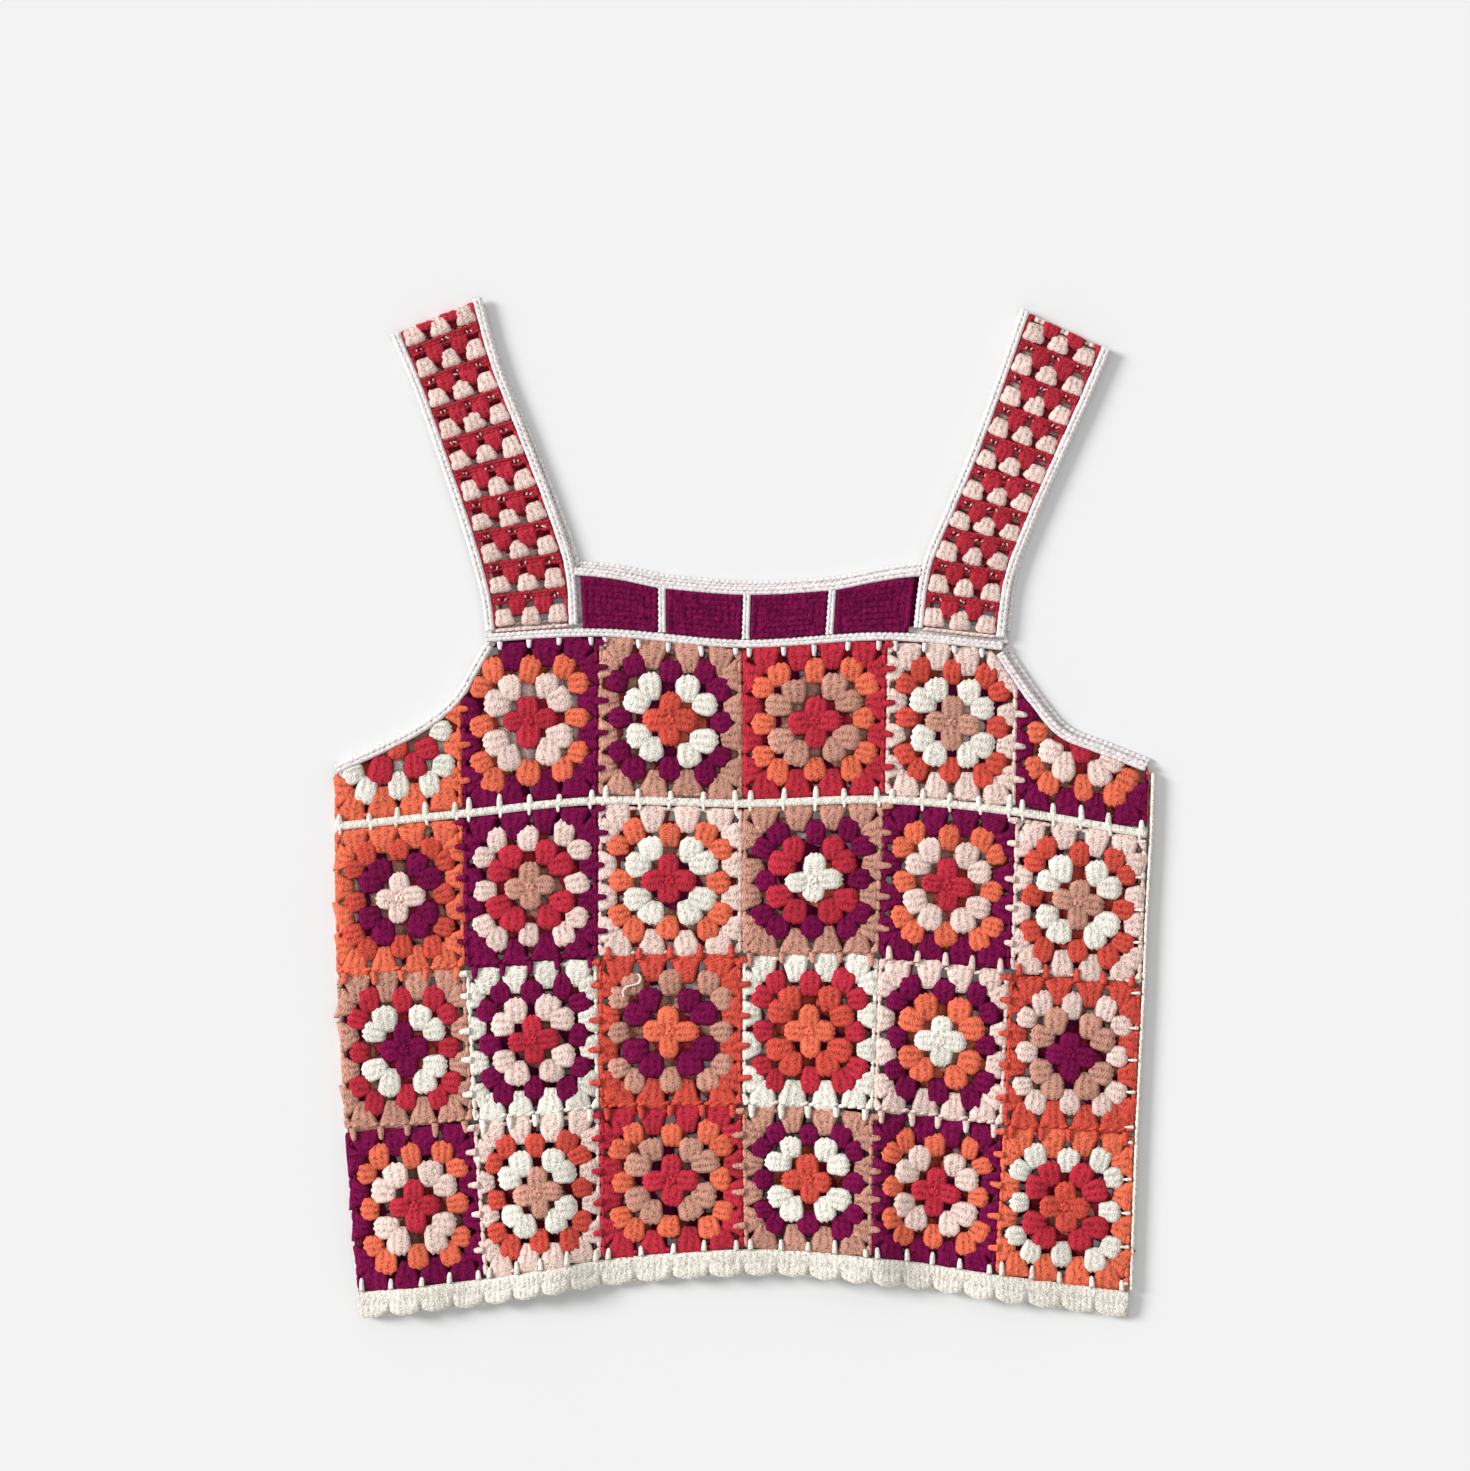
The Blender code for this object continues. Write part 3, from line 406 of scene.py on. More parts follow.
def cloth(name, parts, under):
    """One mesh from a list of (yarn, strands): rings joined by quads and closed by an end face each.

    under gives the height of the cloth's underside at plan points, and is added to every strand.
    """
    yarns = sorted({part[0] for part in parts})
    columns = {key: [] for key in ("xyz", "crevice", "tone", "strand", "corners", "totals", "colours")}
    start = 0
    for colour, made in parts:
        count, rings, around = made["xyz"].shape[:3]
        if count == 0:
            continue
        ring, step = np.arange(around), np.arange(rings - 1)[:, None] * around
        ahead = np.roll(ring, -1)
        quads = np.stack([step + ring, step + around + ring, step + around + ahead, step + ahead], -1)
        quads = quads.reshape(-1, 4)
        ends = np.stack([ring, (rings - 1) * around + ring[::-1]])
        first = start + np.arange(count)[:, None, None] * rings * around
        corners = [(first + quads).reshape(count, -1), (first + ends).reshape(count, -1)]
        totals = np.concatenate([np.full(len(quads), 4), np.full(2, around)])
        columns["corners"].append(np.concatenate(corners, 1).ravel())
        columns["totals"].append(np.tile(totals, count))
        columns["colours"].append(np.full(count * len(totals), yarns.index(colour)))
        for key, width in (("xyz", 3), ("crevice", 1), ("tone", 1), ("strand", 2)):
            columns[key].append(np.asarray(made[key]).reshape(-1, width))
        start += count * rings * around
    data = {key: np.concatenate(value) for key, value in columns.items()}
    xyz = data["xyz"].copy()
    xyz[:, 2] = np.maximum(xyz[:, 2] + under(xyz[:, :2]), 0.02)
    xyz[:, :2] -= LAY_CENTRE
    mesh = bpy.data.meshes.new(name)
    mesh.vertices.add(len(xyz))
    mesh.loops.add(len(data["corners"]))
    mesh.polygons.add(len(data["totals"]))
    mesh.vertices.foreach_set("co", (xyz * MM).ravel())
    mesh.loops.foreach_set("vertex_index", data["corners"])
    mesh.polygons.foreach_set("loop_start", np.cumsum(data["totals"]) - data["totals"])
    mesh.polygons.foreach_set("loop_total", data["totals"])
    mesh.polygons.foreach_set("material_index", data["colours"])
    for key in ("crevice", "tone"):
        mesh.attributes.new(key, "FLOAT", "POINT").data.foreach_set("value", data[key].ravel())
    strand = mesh.uv_layers.new(name="strand")
    strand.data.foreach_set("uv", data["strand"][data["corners"]].ravel())
    mesh.update(calc_edges=True)
    mesh.validate()
    mesh.shade_smooth()
    for colour in yarns:
        mesh.materials.append(yarn(colour))
    made = bpy.data.objects.new(f"{name}_cloth", mesh)
    bpy.context.collection.objects.link(made)
    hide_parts(name)
    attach(made, "root")
    return made


def square_bounds(row):
    """First and last v of the squares in a row, clear of its seams."""
    top = {0: SEAM_V, 1: 1 + CORD_V}.get(row, row + SEAM_V)
    return top, 1 - CORD_V if row == 0 else row + 1 - SEAM_V


def in_square(layer, column, row, places):
    """Plan points of places on a square's half-sides of 1."""
    top, bottom = square_bounds(row)
    left = column + (LEFT_TUCK if layer == "back" and column == 0 else SEAM_U)
    right = column + 1 - SEAM_U
    u = 0.5 * (left + right) + places[..., 0] * 0.5 * (right - left)
    return panel(layer, u, 0.5 * (top + bottom) - places[..., 1] * 0.5 * (bottom - top))


HALF = 39.0  # half a square, on average
ROUNDING = HALF / np.array([0.5 * SQUARE_W, 0.5 * SQUARE_H])
SQUARE_TALL = {"front": 2.65, "back": 2.2}
# A round's clusters: one quarter turn's places (x, y, lean), their length and width, how wide the foot is
# for the head, and how far the head is rounded off.
ROUNDS = (
    (((0.0, 0.2, 0.0),), 0.36, 0.305, 1.02, 0.16),
    (((-0.25, 0.44, 5.0), (0.25, 0.44, -5.0)), 0.37, 0.385, 0.76, 0.16),
    (((-0.475, 0.682, 9.0), (0.0, 0.668, 0.0), (0.475, 0.682, -9.0)), 0.34, 0.355, 0.76, 0.18),
    (((-0.655, 0.84, 6.0), (-0.22, 0.845, 0.0), (0.22, 0.845, 0.0), (0.655, 0.84, -6.0)),
     0.335, 0.435, 0.55, 0.0),
)
QUARTERS = ((1, 0), (0, 1), (-1, 0), (0, -1))  # cosine and sine of each quarter turn: up, left, down, right
# The back's clusters are wider for their round, and its second round lies closer in pairs.
BACK_BROAD, BACK_PAIRED = (1.34, 1.25, 1.25, 1.06), 0.75
LEAN_SPREAD, PLACE_SPREAD, SIZE_SPREAD = 5.0, 0.014, 0.05
RING, RING_YARN = 0.045, 3.2
# The chain round the edge: its loops a side, and how far out it runs. A raised joining rope lies a little
# further in and its loops are tilted. Two longer loops lie at each corner.
EDGE_CHAINS = {"front": 14, "back": 8}
CHAIN_OUT, ROPE_OUT, ROPE_TILT = 0.96, 0.957, 0.014
CORNER_LOOPS = np.array([[(0.68, 0.68), (0.80, 0.80)], [(0.99, 0.85), (0.85, 0.99)]])


def granny(layer, column, row, yarns, seed, ropes=()):
    """Strands of one square: four rounds of clusters, the ring at the middle and the chain round the edge.

    ropes names the sides along which this square's yarn makes a raised joining rope.
    """
    chance = np.random.default_rng(seed)
    fine = layer == "front"
    tall = SQUARE_TALL[layer]
    ends = in_square(layer, column, row, np.array([(-1.0, -1.0), (1.0, -1.0), (1.0, 1.0), (-1.0, 1.0)]))
    half = 0.5 * np.linalg.norm(np.roll(ends, -1, 0) - ends, axis=1).mean()
    parts = []

    def flat(places):
        return in_square(layer, column, row, places * (ROUNDING + (1 - ROUNDING) * places ** 4))

    for number, colour in enumerate(yarns):
        places, length, width, foot, bend = ROUNDS[number]
        x, y, lean = np.array(places).T
        if number == 1 and not fine:
            x = BACK_PAIRED * x
        turned = np.concatenate([
            np.stack([x * c - y * s, x * s + y * c, lean + 90.0 * k], -1)
            for k, (c, s) in enumerate(QUARTERS)])
        count = len(turned)
        centre = turned[:, :2] + PLACE_SPREAD * chance.standard_normal((count, 2))
        if not fine:
            centre = centre + BACK_DRIFT * (1.0 - np.abs(turned[:, :2]).max(1, keepdims=True) / 0.95)
        heading = np.radians(turned[:, 2] + 90.0 + LEAN_SPREAD * chance.standard_normal(count))
        size = 1.0 + SIZE_SPREAD * chance.standard_normal((count, 2))
        reach = 0.5 * (length * size[:, :1]) * pairs(np.cos(heading), np.sin(heading))
        broad = width * size[:, 1] * half
        if fine:
            shape = FAN if number == 3 and colour not in ("cream", "pink") else BELL
            parts.append((colour, stitches(
                flat(centre - reach), flat(centre + reach), (foot * broad, broad), (0.8 * tall, tall),
                (0.1, 0.15), shape, TREBLES, arch=0.2, bend=bend, seed=seed + number)))
        else:
            # plain strands, a little longer and with a wider foot, darkened by deep with painted shade for
            # lying in the front panel's shadow
            broad = broad * BACK_BROAD[number]
            parts.append((colour, stitches(
                flat(centre - 1.12 * reach), flat(centre + 1.05 * reach), (foot * 1.24 * broad, broad), tall,
                0.1, SHORT, deep=0.45, seed=seed + number)))
    # the ring of six loops at the middle
    turn = np.radians(np.arange(6) * 60.0)
    ring = RING * pairs(np.cos(turn), np.sin(turn))
    ahead = np.roll(ring, -1, 0)
    parts.append((yarns[0], stitches(
        flat(1.2 * ring - 0.2 * ahead), flat(1.2 * ahead - 0.2 * ring), RING_YARN, 0.95 * tall, 0.2, SHORT,
        seed=seed)))
    # the chain or the raised rope along each side, and the longer loops at each corner
    x = np.linspace(-1, 1, EDGE_CHAINS[layer] + 1)
    middle, half_loop = 0.5 * (x[1:] + x[:-1]), 0.53 * (x[1] - x[0])
    one_x, two_x = (np.clip(middle + reach, -0.98, 0.98) for reach in (-half_loop, half_loop))
    for (c, s), name in zip(QUARTERS, ("up", "left", "down", "right")):
        raised = name in ropes
        out, tilt = (ROPE_OUT, ROPE_TILT) if raised else (CHAIN_OUT, 0.0)
        one, two = pairs(one_x, out - tilt), pairs(two_x, out + tilt)
        spin = np.array([[c, s], [-s, c]])
        parts.append((yarns[3], stitches(
            flat(one @ spin), flat(two @ spin), 2.7 if s else 2.4, tall if raised else 0.85 * tall,
            0.25 if raised else 0.1, SHORT, seed=seed + 30)))
        parts.append((yarns[3], stitches(
            *(flat(CORNER_LOOPS[:, end] @ spin) for end in (0, 1)), np.array([5.0, 3.2]), 0.85 * tall, 0.1,
            SHORT, seed=seed + 40)))
    return parts


def armhole_side(column, row):
    """Which armhole cuts into a square, if any."""
    return None if row or column in (2, 3) else "left" if column < 2 else "right"


def cut_of(layer, row, first, last, under):
    """The cut of the squares first to last of a row: width and height (m), and area (m2).

    Each square is a grid of 40 x 40 cells on the lie of the cloth, folds and all. Width and height are the
    mean lengths of its lines, and the area is that of the cells inside the armhole's edging.
    """
    steps = np.linspace(-1.0, 1.0, 41)
    places = np.stack(np.meshgrid(steps, steps, indexing="ij"), -1)
    wide = high = area = 0.0
    for column in range(first, last + 1):
        plan = in_square(layer, column, row, places)
        lie = np.concatenate([plan, under(plan.reshape(-1, 2)).reshape(41, 41, 1)], -1) * MM
        across, down = np.diff(lie, axis=0), np.diff(lie, axis=1)
        wide += np.linalg.norm(across, axis=-1).sum(0).mean()
        high += np.linalg.norm(down, axis=-1).sum(1).mean() / (last + 1 - first)
        cells = np.linalg.norm(np.cross(across[:, :-1], down[:-1]), axis=-1).ravel()
        side = armhole_side(column, row)
        if side:
            corners = plan[:-1, :-1].reshape(-1, 2)
            cells = cells * (past_armhole(corners, side, layer, EDGING + SEAM_GAP)[0] < 0)
        area += cells.sum()
    return (round(wide, 4), round(high, 4)), min(round(area, 6), wide * high)


def shaped(parts, layer, column, row):
    """A square's strands inside the armhole, with what crosses its edging drawn back to the edging."""
    side = armhole_side(column, row)
    if side is None:
        return parts
    kept = []
    for colour, made in parts:
        middle = made["xyz"].mean((1, 2))[:, :2]
        inside = past_armhole(middle, side, layer, EDGING - 0.6)[0] < 0.0
        made = {key: np.array(value[inside]) for key, value in made.items()}
        points = made["xyz"][..., :2].reshape(-1, 2)
        if len(points):
            out, near = past_armhole(points, side, layer, EDGING - 0.2)
            points[out > 0] = near[out > 0]
            made["xyz"][..., :2] = points.reshape(made["xyz"].shape[:3] + (2,))
        kept.append((colour, made))
    return kept


def yarns_of(rows):
    """The four yarns of each square, from its middle out, from one line of words a row."""
    return [[square.split() for square in row.split(",")] for row in rows]


# The back's yarns are not seen from above and lean to the darker ones so that the front's gaps show dark:
# partly real yarn, partly a stand-in for shade.
BACK_SQUARES = yarns_of((
    "tan cream brick plum, crimson pink orange plum, orange plum tan brick, "
    "crimson tan plum crimson, pink plum brick tan, brick crimson tan orange",
    "crimson tan plum pink, tan crimson brick plum, plum tan crimson brick, "
    "orange plum tan crimson, brick tan orange plum, crimson brick plum tan",
    "orange crimson tan plum, tan plum brick crimson, crimson tan orange plum, "
    "plum brick tan crimson, tan orange plum brick, crimson plum tan brick",
    "brick tan plum crimson, tan crimson plum brick, tan plum orange plum, "
    "crimson orange tan plum, plum brick crimson tan, tan crimson plum orange",
))


def on_table(points):
    return np.zeros(len(points))


back_rows = []
for row, letter in enumerate("abcd"):
    parts = []
    for column in range(COLUMNS):
        made = granny("back", column, row, BACK_SQUARES[row][column], 500 + 10 * row + column)
        parts += shaped(made, "back", column, row)
    back_rows.append(cloth(f"back_row_{letter}", parts, on_table))

# ---------------------------------------------------------------- front squares
# Twenty-four granny squares of four rounds, each round in its own yarn. The squares are crocheted together:
# one yarn of each pair makes the rope along the seam and the short straps that catch the other square.
WALL = 2.4
FRONT_Z = WALL + SEAM_GAP
FOLDS = (  # x, reach to the left and right, height, and reach up from the hem
    (-176.0, 24.0, 22.0, 4.5, 110.0),
    (-101.0, 34.0, 21.0, 7.5, 190.0),
    (-8.0, 42.0, 38.0, 4.5, 120.0),
    (73.0, 36.0, 17.0, 8.0, 200.0),
    (140.0, 26.0, 28.0, 4.0, 130.0),
)
HEM_LEVEL, HELD_FROM, SIDE_HOLD = -252.0, 212.0, 26.0


def on_back(points):
    """Height of the front panel's underside: the back panel's top plus rounded folds.

    A fold is height exp(-(away / width)^2) times the smooth step up from nothing to the hem.
    """
    x, y = points[:, 0], points[:, 1]
    rise = np.zeros(len(points))
    for fold_x, left, right, height, reach in FOLDS:
        away = x - fold_x
        up = np.clip(1.0 - (y - HEM_LEVEL) / reach, 0.0, 1.0)
        rise += height * np.exp(-((away / np.where(away < 0, left, right)) ** 2)) * up * up * (3 - 2 * up)
    return FRONT_Z + rise * np.clip((HELD_FROM - np.abs(x)) / SIDE_HOLD, 0.0, 1.0)


FRONT_SQUARES = yarns_of((
    "brick crimson cream orange, crimson pink orange plum, brick cream plum tan, "
    "crimson tan orange crimson, tan cream brick pink, crimson pink orange plum",
    "pink plum brick orange, tan crimson pink plum, crimson cream orange pink, "
    "cream crimson plum tan, crimson pink orange plum, tan cream brick pink",
    "plum cream crimson tan, crimson pink plum cream, orange plum tan brick, "
    "orange brick crimson cream, cream orange plum pink, plum tan pink brick",
    "crimson pink orange plum, tan cream brick pink, crimson tan orange crimson, "
    "brick cream plum tan, crimson pink orange plum, brick crimson cream orange",
))
# Which square's yarn joins each pair side by side (L or R, - where the joins hardly show), left to right.
SIDE_JOINS = ("LL-LL", "RL-LR", "RRL-R", "RRRLR")
# Which square's yarn joins rows b and c, then c and d: the upper (U) or the lower (L).
ROW_JOINS = {1: "UULULL", 2: "UUUUUU"}
JOINS_UP = np.array([-0.87, -0.42, 0.0, 0.42, 0.87])
JOINS_ACROSS = np.array([-0.64, -0.2, 0.2, 0.64, 0.95])
# Where each starts, the neighbour's edge, how far past it each reaches, and how high it lies.
JOIN_FOOT, JOIN_OVER, JOIN_REACH, JOIN_LIFT = 0.97, 1.03, 0.105, 2.6


def join_straps(column, row, way, seed):
    """Short tapered straps from a square's edge over its neighbour.

    Along an upper or lower edge they lie between the clusters, and along a side at the clusters' heads.
    """
    chance = np.random.default_rng(seed)
    axis, sign = (0 if way in ("left", "right") else 1), (1.0 if way in ("right", "up") else -1.0)
    places = JOINS_ACROSS if axis == 0 else JOINS_UP
    count = len(places)
    along = places + 0.012 * chance.standard_normal(count)
    reach = JOIN_REACH * (1 + 0.15 * chance.standard_normal(count))
    start, end = np.zeros((count, 2)), np.zeros((count, 2))
    start[:, axis], end[:, axis] = JOIN_FOOT * sign, (JOIN_OVER + reach) * sign
    start[:, 1 - axis], end[:, 1 - axis] = along, along + 0.01 * chance.standard_normal(count)
    start, end = (in_square("front", column, row, places) for places in (start, end))
    return stitches(start, end, (4.4, 3.1), (1.3, 1.0), JOIN_LIFT, TONGUE, seed=seed)


# A cream yarn's loose end lies across a corner of square c3.
LOOSE_END = ((-56.1, -90.1), (-54.8, -92.2), (-55.6, -94.7), (-58.5, -96.0), (-61.9, -96.8), (-64.2, -99.2),
             (-64.0, -102.6))
LOOSE_END_SQUARE = (2, 2)

for row, letter in enumerate("abcd"):
    for column in range(COLUMNS):
        colours = FRONT_SQUARES[row][column]
        seed = 100 + 10 * row + column
        joined = {
            "right": column < COLUMNS - 1 and SIDE_JOINS[row][column] == "L",
            "left": column > 0 and SIDE_JOINS[row][column - 1] == "R",
            "down": ROW_JOINS.get(row, "------")[column] == "U",
            "up": ROW_JOINS.get(row - 1, "------")[column] == "L",
        }
        ways = [way for way, here in joined.items() if here]
        parts = granny("front", column, row, colours, seed, ways)
        parts += [(colours[3], join_straps(column, row, way, seed + 300 + k)) for k, way in enumerate(ways)]
        parts = shaped(parts, "front", column, row)
        if (row, column) == LOOSE_END_SQUARE:
            place = np.linspace(0.0, len(LOOSE_END) - 1.0, 19)
            path = pairs(*(smooth(values, place) for values in np.transpose(LOOSE_END)))
            step = 0.25 * np.diff(path, axis=0)
            end = stitches(path[:-1] - step, path[1:] + step, wide=1.3, thick=1.0, low=2.7, seed=95)
            parts.append(("cream", end))
        made = cloth(f"front_square_{letter}{column + 1}", parts, on_back)
        flat_size, area = cut_of("front", row, column, column, on_back)

# ---------------------------------------------------------------- waist cord
# A thick slip-stitched cord of cream cotton joins rows a and b. Long stitches run up from it between the
# clusters of row a, and short ones down into row b.
def along_path(path, place):
    """Points at distances along a path, and the path's direction there."""
    far = distances(path)

    def at(distance):
        distance = np.clip(distance, 0.0, far[-1])
        return pairs(*(np.interp(distance, far, values) for values in path.T))

    way = at(place + 1.0) - at(place - 1.0)
    return at(place), way / np.linalg.norm(way, axis=1)[:, None]


def length_of(path):
    return np.linalg.norm(np.diff(path, axis=0), axis=1).sum()


SLANT = 0.12  # how far a rope's loops start and end beside its middle, as a share of its width


def rope(path, wide, thick, low, twist, seed):
    """Overlapping slanted loops along a path: each starts on one side of it and ends on the other."""
    full = length_of(path)
    count = max(int(full / twist), 2)
    middle, reach = (np.arange(count) + 0.5) * full / count, 0.8 * full / count
    start, way_in = along_path(path, np.maximum(middle - reach, 0.0))
    end, way_out = along_path(path, np.minimum(middle + reach, full))
    start -= SLANT * wide * left_of(way_in)
    end += SLANT * wide * left_of(way_out)
    return stitches(start, end, 0.85 * wide, thick, low, SHORT, seed=seed)


def core(path, wide, thick, low, parts):
    """A plain strand along a path, as overlapping straight lengths."""
    points = along_path(path, np.linspace(0.0, length_of(path), parts + 1))[0]
    step = np.diff(points, axis=0) * 0.3
    ends = points[:-1] - step, points[1:] + step
    ends[0][0], ends[1][-1] = points[0], points[-1]
    return stitches(*ends, wide, thick, low, (SHORT[0], (0.92, 1, 1, 0.92), (0.92, 1, 1, 0.92)))


def seam_stitches(layer, v, up, places, seed, wide=3.3, low=2.3):
    """Tapered stitches from the seam at row line v, up millimetres up (or down), at places in squares."""
    chance = np.random.default_rng(seed)
    places = places + 0.006 * chance.standard_normal(len(places))
    foot = panel(layer, places, v)
    high = up * (1 + 0.12 * chance.standard_normal(len(places)))
    tip = foot + pairs(0.3 * chance.standard_normal(len(places)), high)
    return stitches(foot, tip, (wide, 0.75 * wide), (1.4, 1.2), low, TONGUE, seed=seed)


JOIN_SHARES = 0.5 + 0.5 * np.array([-0.9, -0.43, 0.0, 0.43, 0.9])
join_places = (np.arange(COLUMNS)[:, None] + JOIN_SHARES).ravel()
LAYERS = (("back", on_table), ("front", on_back))
PANEL_LEFT = {"back": LEFT_TUCK, "front": SEAM_U}  # where each panel's left edge lies, in squares
CORD_WIDE, CORD_TALL = 5.0, {"front": 3.1, "back": 2.2}
for layer, under in LAYERS:
    line = panel(layer, np.linspace(PANEL_LEFT[layer], COLUMNS - SEAM_U, 200), 1.0)
    tall = CORD_TALL[layer]
    parts = [core(line, CORD_WIDE, tall, low=0.1, parts=90)]
    parts.append(rope(line, CORD_WIDE + 0.2, tall, low=0.2, twist=6.0, seed=7))
    if layer == "front":
        parts += [
            seam_stitches(layer, 1.0, up, join_places, wide=wide, low=(1.5, tip), seed=seed)
            for up, wide, tip, seed in ((7.2, 4.0, 2.4, 8), (-4.6, 2.5, 2.2, 9))]
    cloth(f"waist_cord_{layer}", [("cream", part) for part in parts], under)

# ---------------------------------------------------------------- hem
# Cream shell edging: a row of upright trebles below a chain, then fans of trebles that end in scallops,
# four to a square. The back panel's scallops lie between the front's.
HEM_BAND, HEM_SHELL, SHELLS_PER_SQUARE = 11.0, 3.8, 4
POSTS_PER_SHELL, BACK_OFFSET = 6.0, 0.5
HEM_STEPS = {"front": 577, "back": 193}
# shares of the depth from the scalloped edge up to the squares, and the band's height there
HEM_SHARES = np.array([1.0, 0.95, 0.84, 0.70, 0.58, 0.49, 0.36, 0.20, 0.07, 0.0])
HEM_RISE = np.array([0.35, 0.72, 0.95, 1.0, 0.96, 0.88, 0.95, 0.98, 0.94, 0.55])


BAND_LOW = 0.08  # how far a band's flat underside lies above what is under it


def band(points, height, light, strand, seed, spread=0.04):
    """A closed strip from a grid of plan points: N along it, M across from its right side to its left.

    Its top has the given heights over a flat underside. light is how open each point is and becomes its
    painted shade (the crevice attribute); the underside is painted fully shaded. strand holds which
    stitch each point is on and how far along that stitch it lies. spread is how far the stitches' tones
    differ.
    """
    count, across = height.shape
    chance = np.random.default_rng(seed)
    height = height + 0.07 * chance.standard_normal(height.shape).clip(-2, 2)
    below = np.stack([points[:, -1], points[:, 0]], 1)
    ring = np.concatenate([below, points], 1)
    z = np.concatenate([np.full((count, 2), BAND_LOW), height], 1)
    tones = 1 + spread * chance.standard_normal(257).clip(-2, 2)
    stitch = np.round(strand[..., 0]).astype(int) % 257
    tone = np.concatenate([np.ones((count, 2)), tones[stitch]], 1)
    crevice = np.concatenate([np.zeros((count, 2)), np.clip(light, 0, 1)], 1)
    under = np.stack([strand[:, -1], strand[:, 0]], 1)
    return {
        "xyz": np.concatenate([ring, z[..., None]], -1)[None],
        "crevice": crevice[None],
        "tone": tone[None],
        "strand": np.concatenate([under, strand], 1)[None],
    }


for layer, under in LAYERS:
    fine, tall = layer == "front", TALL[layer]
    shift = 0.0 if fine else BACK_OFFSET
    shell = np.linspace(PANEL_LEFT[layer], COLUMNS - SEAM_U, HEM_STEPS[layer]) * SHELLS_PER_SQUARE + shift
    share, rise = HEM_SHARES, HEM_RISE * tall
    chance = np.random.default_rng(21)
    # scallops, each a little different
    deeper = 1 + 0.03 * chance.standard_normal(40)
    depth = HEM_BAND + HEM_SHELL * np.abs(np.sin(math.pi * shell)) ** 0.6 * deeper[shell.astype(int)]
    line = panel(layer, (shell - shift) / SHELLS_PER_SQUARE, ROWS + SEAM_V)
    down = depth[:, None] * share
    points = line[:, None] - pairs(0.0, down)
    # the ridges of the trebles, a notch where two shells meet, and small holes below the chain. Ridges and
    # notches are in the height; painted shade darkens the grooves between ridges, the notches, a line along
    # the chain and the holes, which are only painted dark spots.
    post = POSTS_PER_SHELL * shell[:, None] + 0.35 * np.sin(2.1 * shell)[:, None] * share
    ridge = np.abs(np.cos(math.pi * post))
    notch = np.exp(-((shell - np.round(shell)) / 0.055) ** 2)[:, None] * np.clip((share - 0.45) * 5, 0, 1)
    height = rise - (0.14 - 0.14 * ridge) * (share < 0.97) - 0.9 * notch * (share < 0.97)
    spot = (chance.random(height.shape) < 0.08) * (np.abs(share - 0.42) < 0.1)
    light = (0.84 + 0.05 * ridge) * (1 - 0.4 * notch) - 0.5 * spot - 0.14 * (np.abs(share - 0.49) < 0.02)
    parts = [("cream", band(points, np.maximum(height, 0.3), light, pairs(post, down), seed=22))]
    if fine:
        parts.append(("cream", seam_stitches(layer, ROWS, 5.8, join_places, wide=3.4, seed=26)))
    cloth(f"hem_{layer}", parts, under)

# ---------------------------------------------------------------- side seams
# Cream slip-stitched cords join the panels' side edges from the armholes down to the hem. The left one is
# rolled under; the right one shows as a strip with stitches that catch the front squares.
for side in ("left", "right"):
    v = np.linspace(ARMHOLES[side][1][0] + 0.08, ROWS - SEAM_V, 120)
    if side == "left":
        line = panel("front", SEAM_U + 1.1 / SQUARE_W, v)
        parts = [rope(line, wide=2.1, thick=2.3, low=0.05, twist=4.0, seed=31)]
    else:
        line = panel("back", COLUMNS, v) + (1.4, 0.0)
        parts = [core(line, wide=2.1, thick=4.8, low=0.1, parts=60)]
        parts.append(rope(line, wide=2.4, thick=3.0, low=2.4, twist=4.0, seed=32))
        catch = (np.arange(1, ROWS)[:, None] + JOIN_SHARES).ravel()
        foot = panel("front", COLUMNS - 0.005, catch)
        parts.append(stitches(foot, foot - (5.0, 0.0), wide=(2.6, 1.2), thick=(1.7, 1.1), low=4.8, seed=33))
    cloth(f"side_seam_{side}", [("cream", part) for part in parts], on_table)

# ---------------------------------------------------------------- cream edgings
# Two rows of small double stitches in a cooler cream, with a line of tiny holes between them, along the
# armholes, the straps and the neckline. The holes are shallow pits darkened with painted shade.
def edging(path, wide, layer, side, seed, pitch=3.0):
    """An edging whose outer edge is path and that reaches wide to its left (side 1) or right (-1).

    Two rows of bumps, each a cosine of the place along it, lie half a step apart. The valley between them
    has a pit at each step. Painted shade darkens the pits and the dips between bumps.
    """
    tall = 2.8 if layer == "front" else 2.2
    full = length_of(path)
    steps = max(int(round(full / pitch)), 2)
    place = np.linspace(0.0, full, 4 * steps + 1)
    edge, way = along_path(path, place)
    inwards = side * left_of(way)
    share = np.array([0.0, 0.08, 0.24, 0.38, 0.48, 0.58, 0.76, 0.92, 1.0])
    rise = np.array([0.4, 0.78, 0.98, 0.95, 0.88, 0.95, 1.0, 0.86, 0.45]) * tall
    turn = 2 * math.pi * place[:, None] / pitch
    bump = np.cos(turn + math.pi * (share > 0.48))
    chance = np.random.default_rng(seed)
    deep = np.repeat(chance.random(steps + 1), 4)[: len(place), None]
    pit = np.clip(np.cos(turn + 0.6), 0, 1) ** 2 * (np.abs(share - 0.48) < 0.01) * np.clip(1.6 * deep, 0.2, 1)
    height = rise + 0.13 * bump - 1.3 * pit
    light = 0.96 + 0.04 * bump - 1.2 * pit
    reach = share * wide - 0.22 * np.cos(turn) * (share < 0.1)
    points = edge[:, None] + inwards[:, None] * reach[..., None]
    strand = pairs(place[:, None] / pitch, 2.0 * (share - 0.5) * wide)
    if side < 0:
        points, height, light, strand = points[:, ::-1], height[:, ::-1], light[:, ::-1], strand[:, ::-1]
    return [("white", band(points, height, light, strand, seed=seed))]


for side in ("left", "right"):
    for layer, under in LAYERS:
        path = armhole_path(side, layer, 0.1)
        parts = edging(path, EDGING - 0.2, layer, -1.0 if side == "left" else 1.0, 41, pitch=3.2)
        cloth(f"armhole_{side}_{layer}", parts, under)

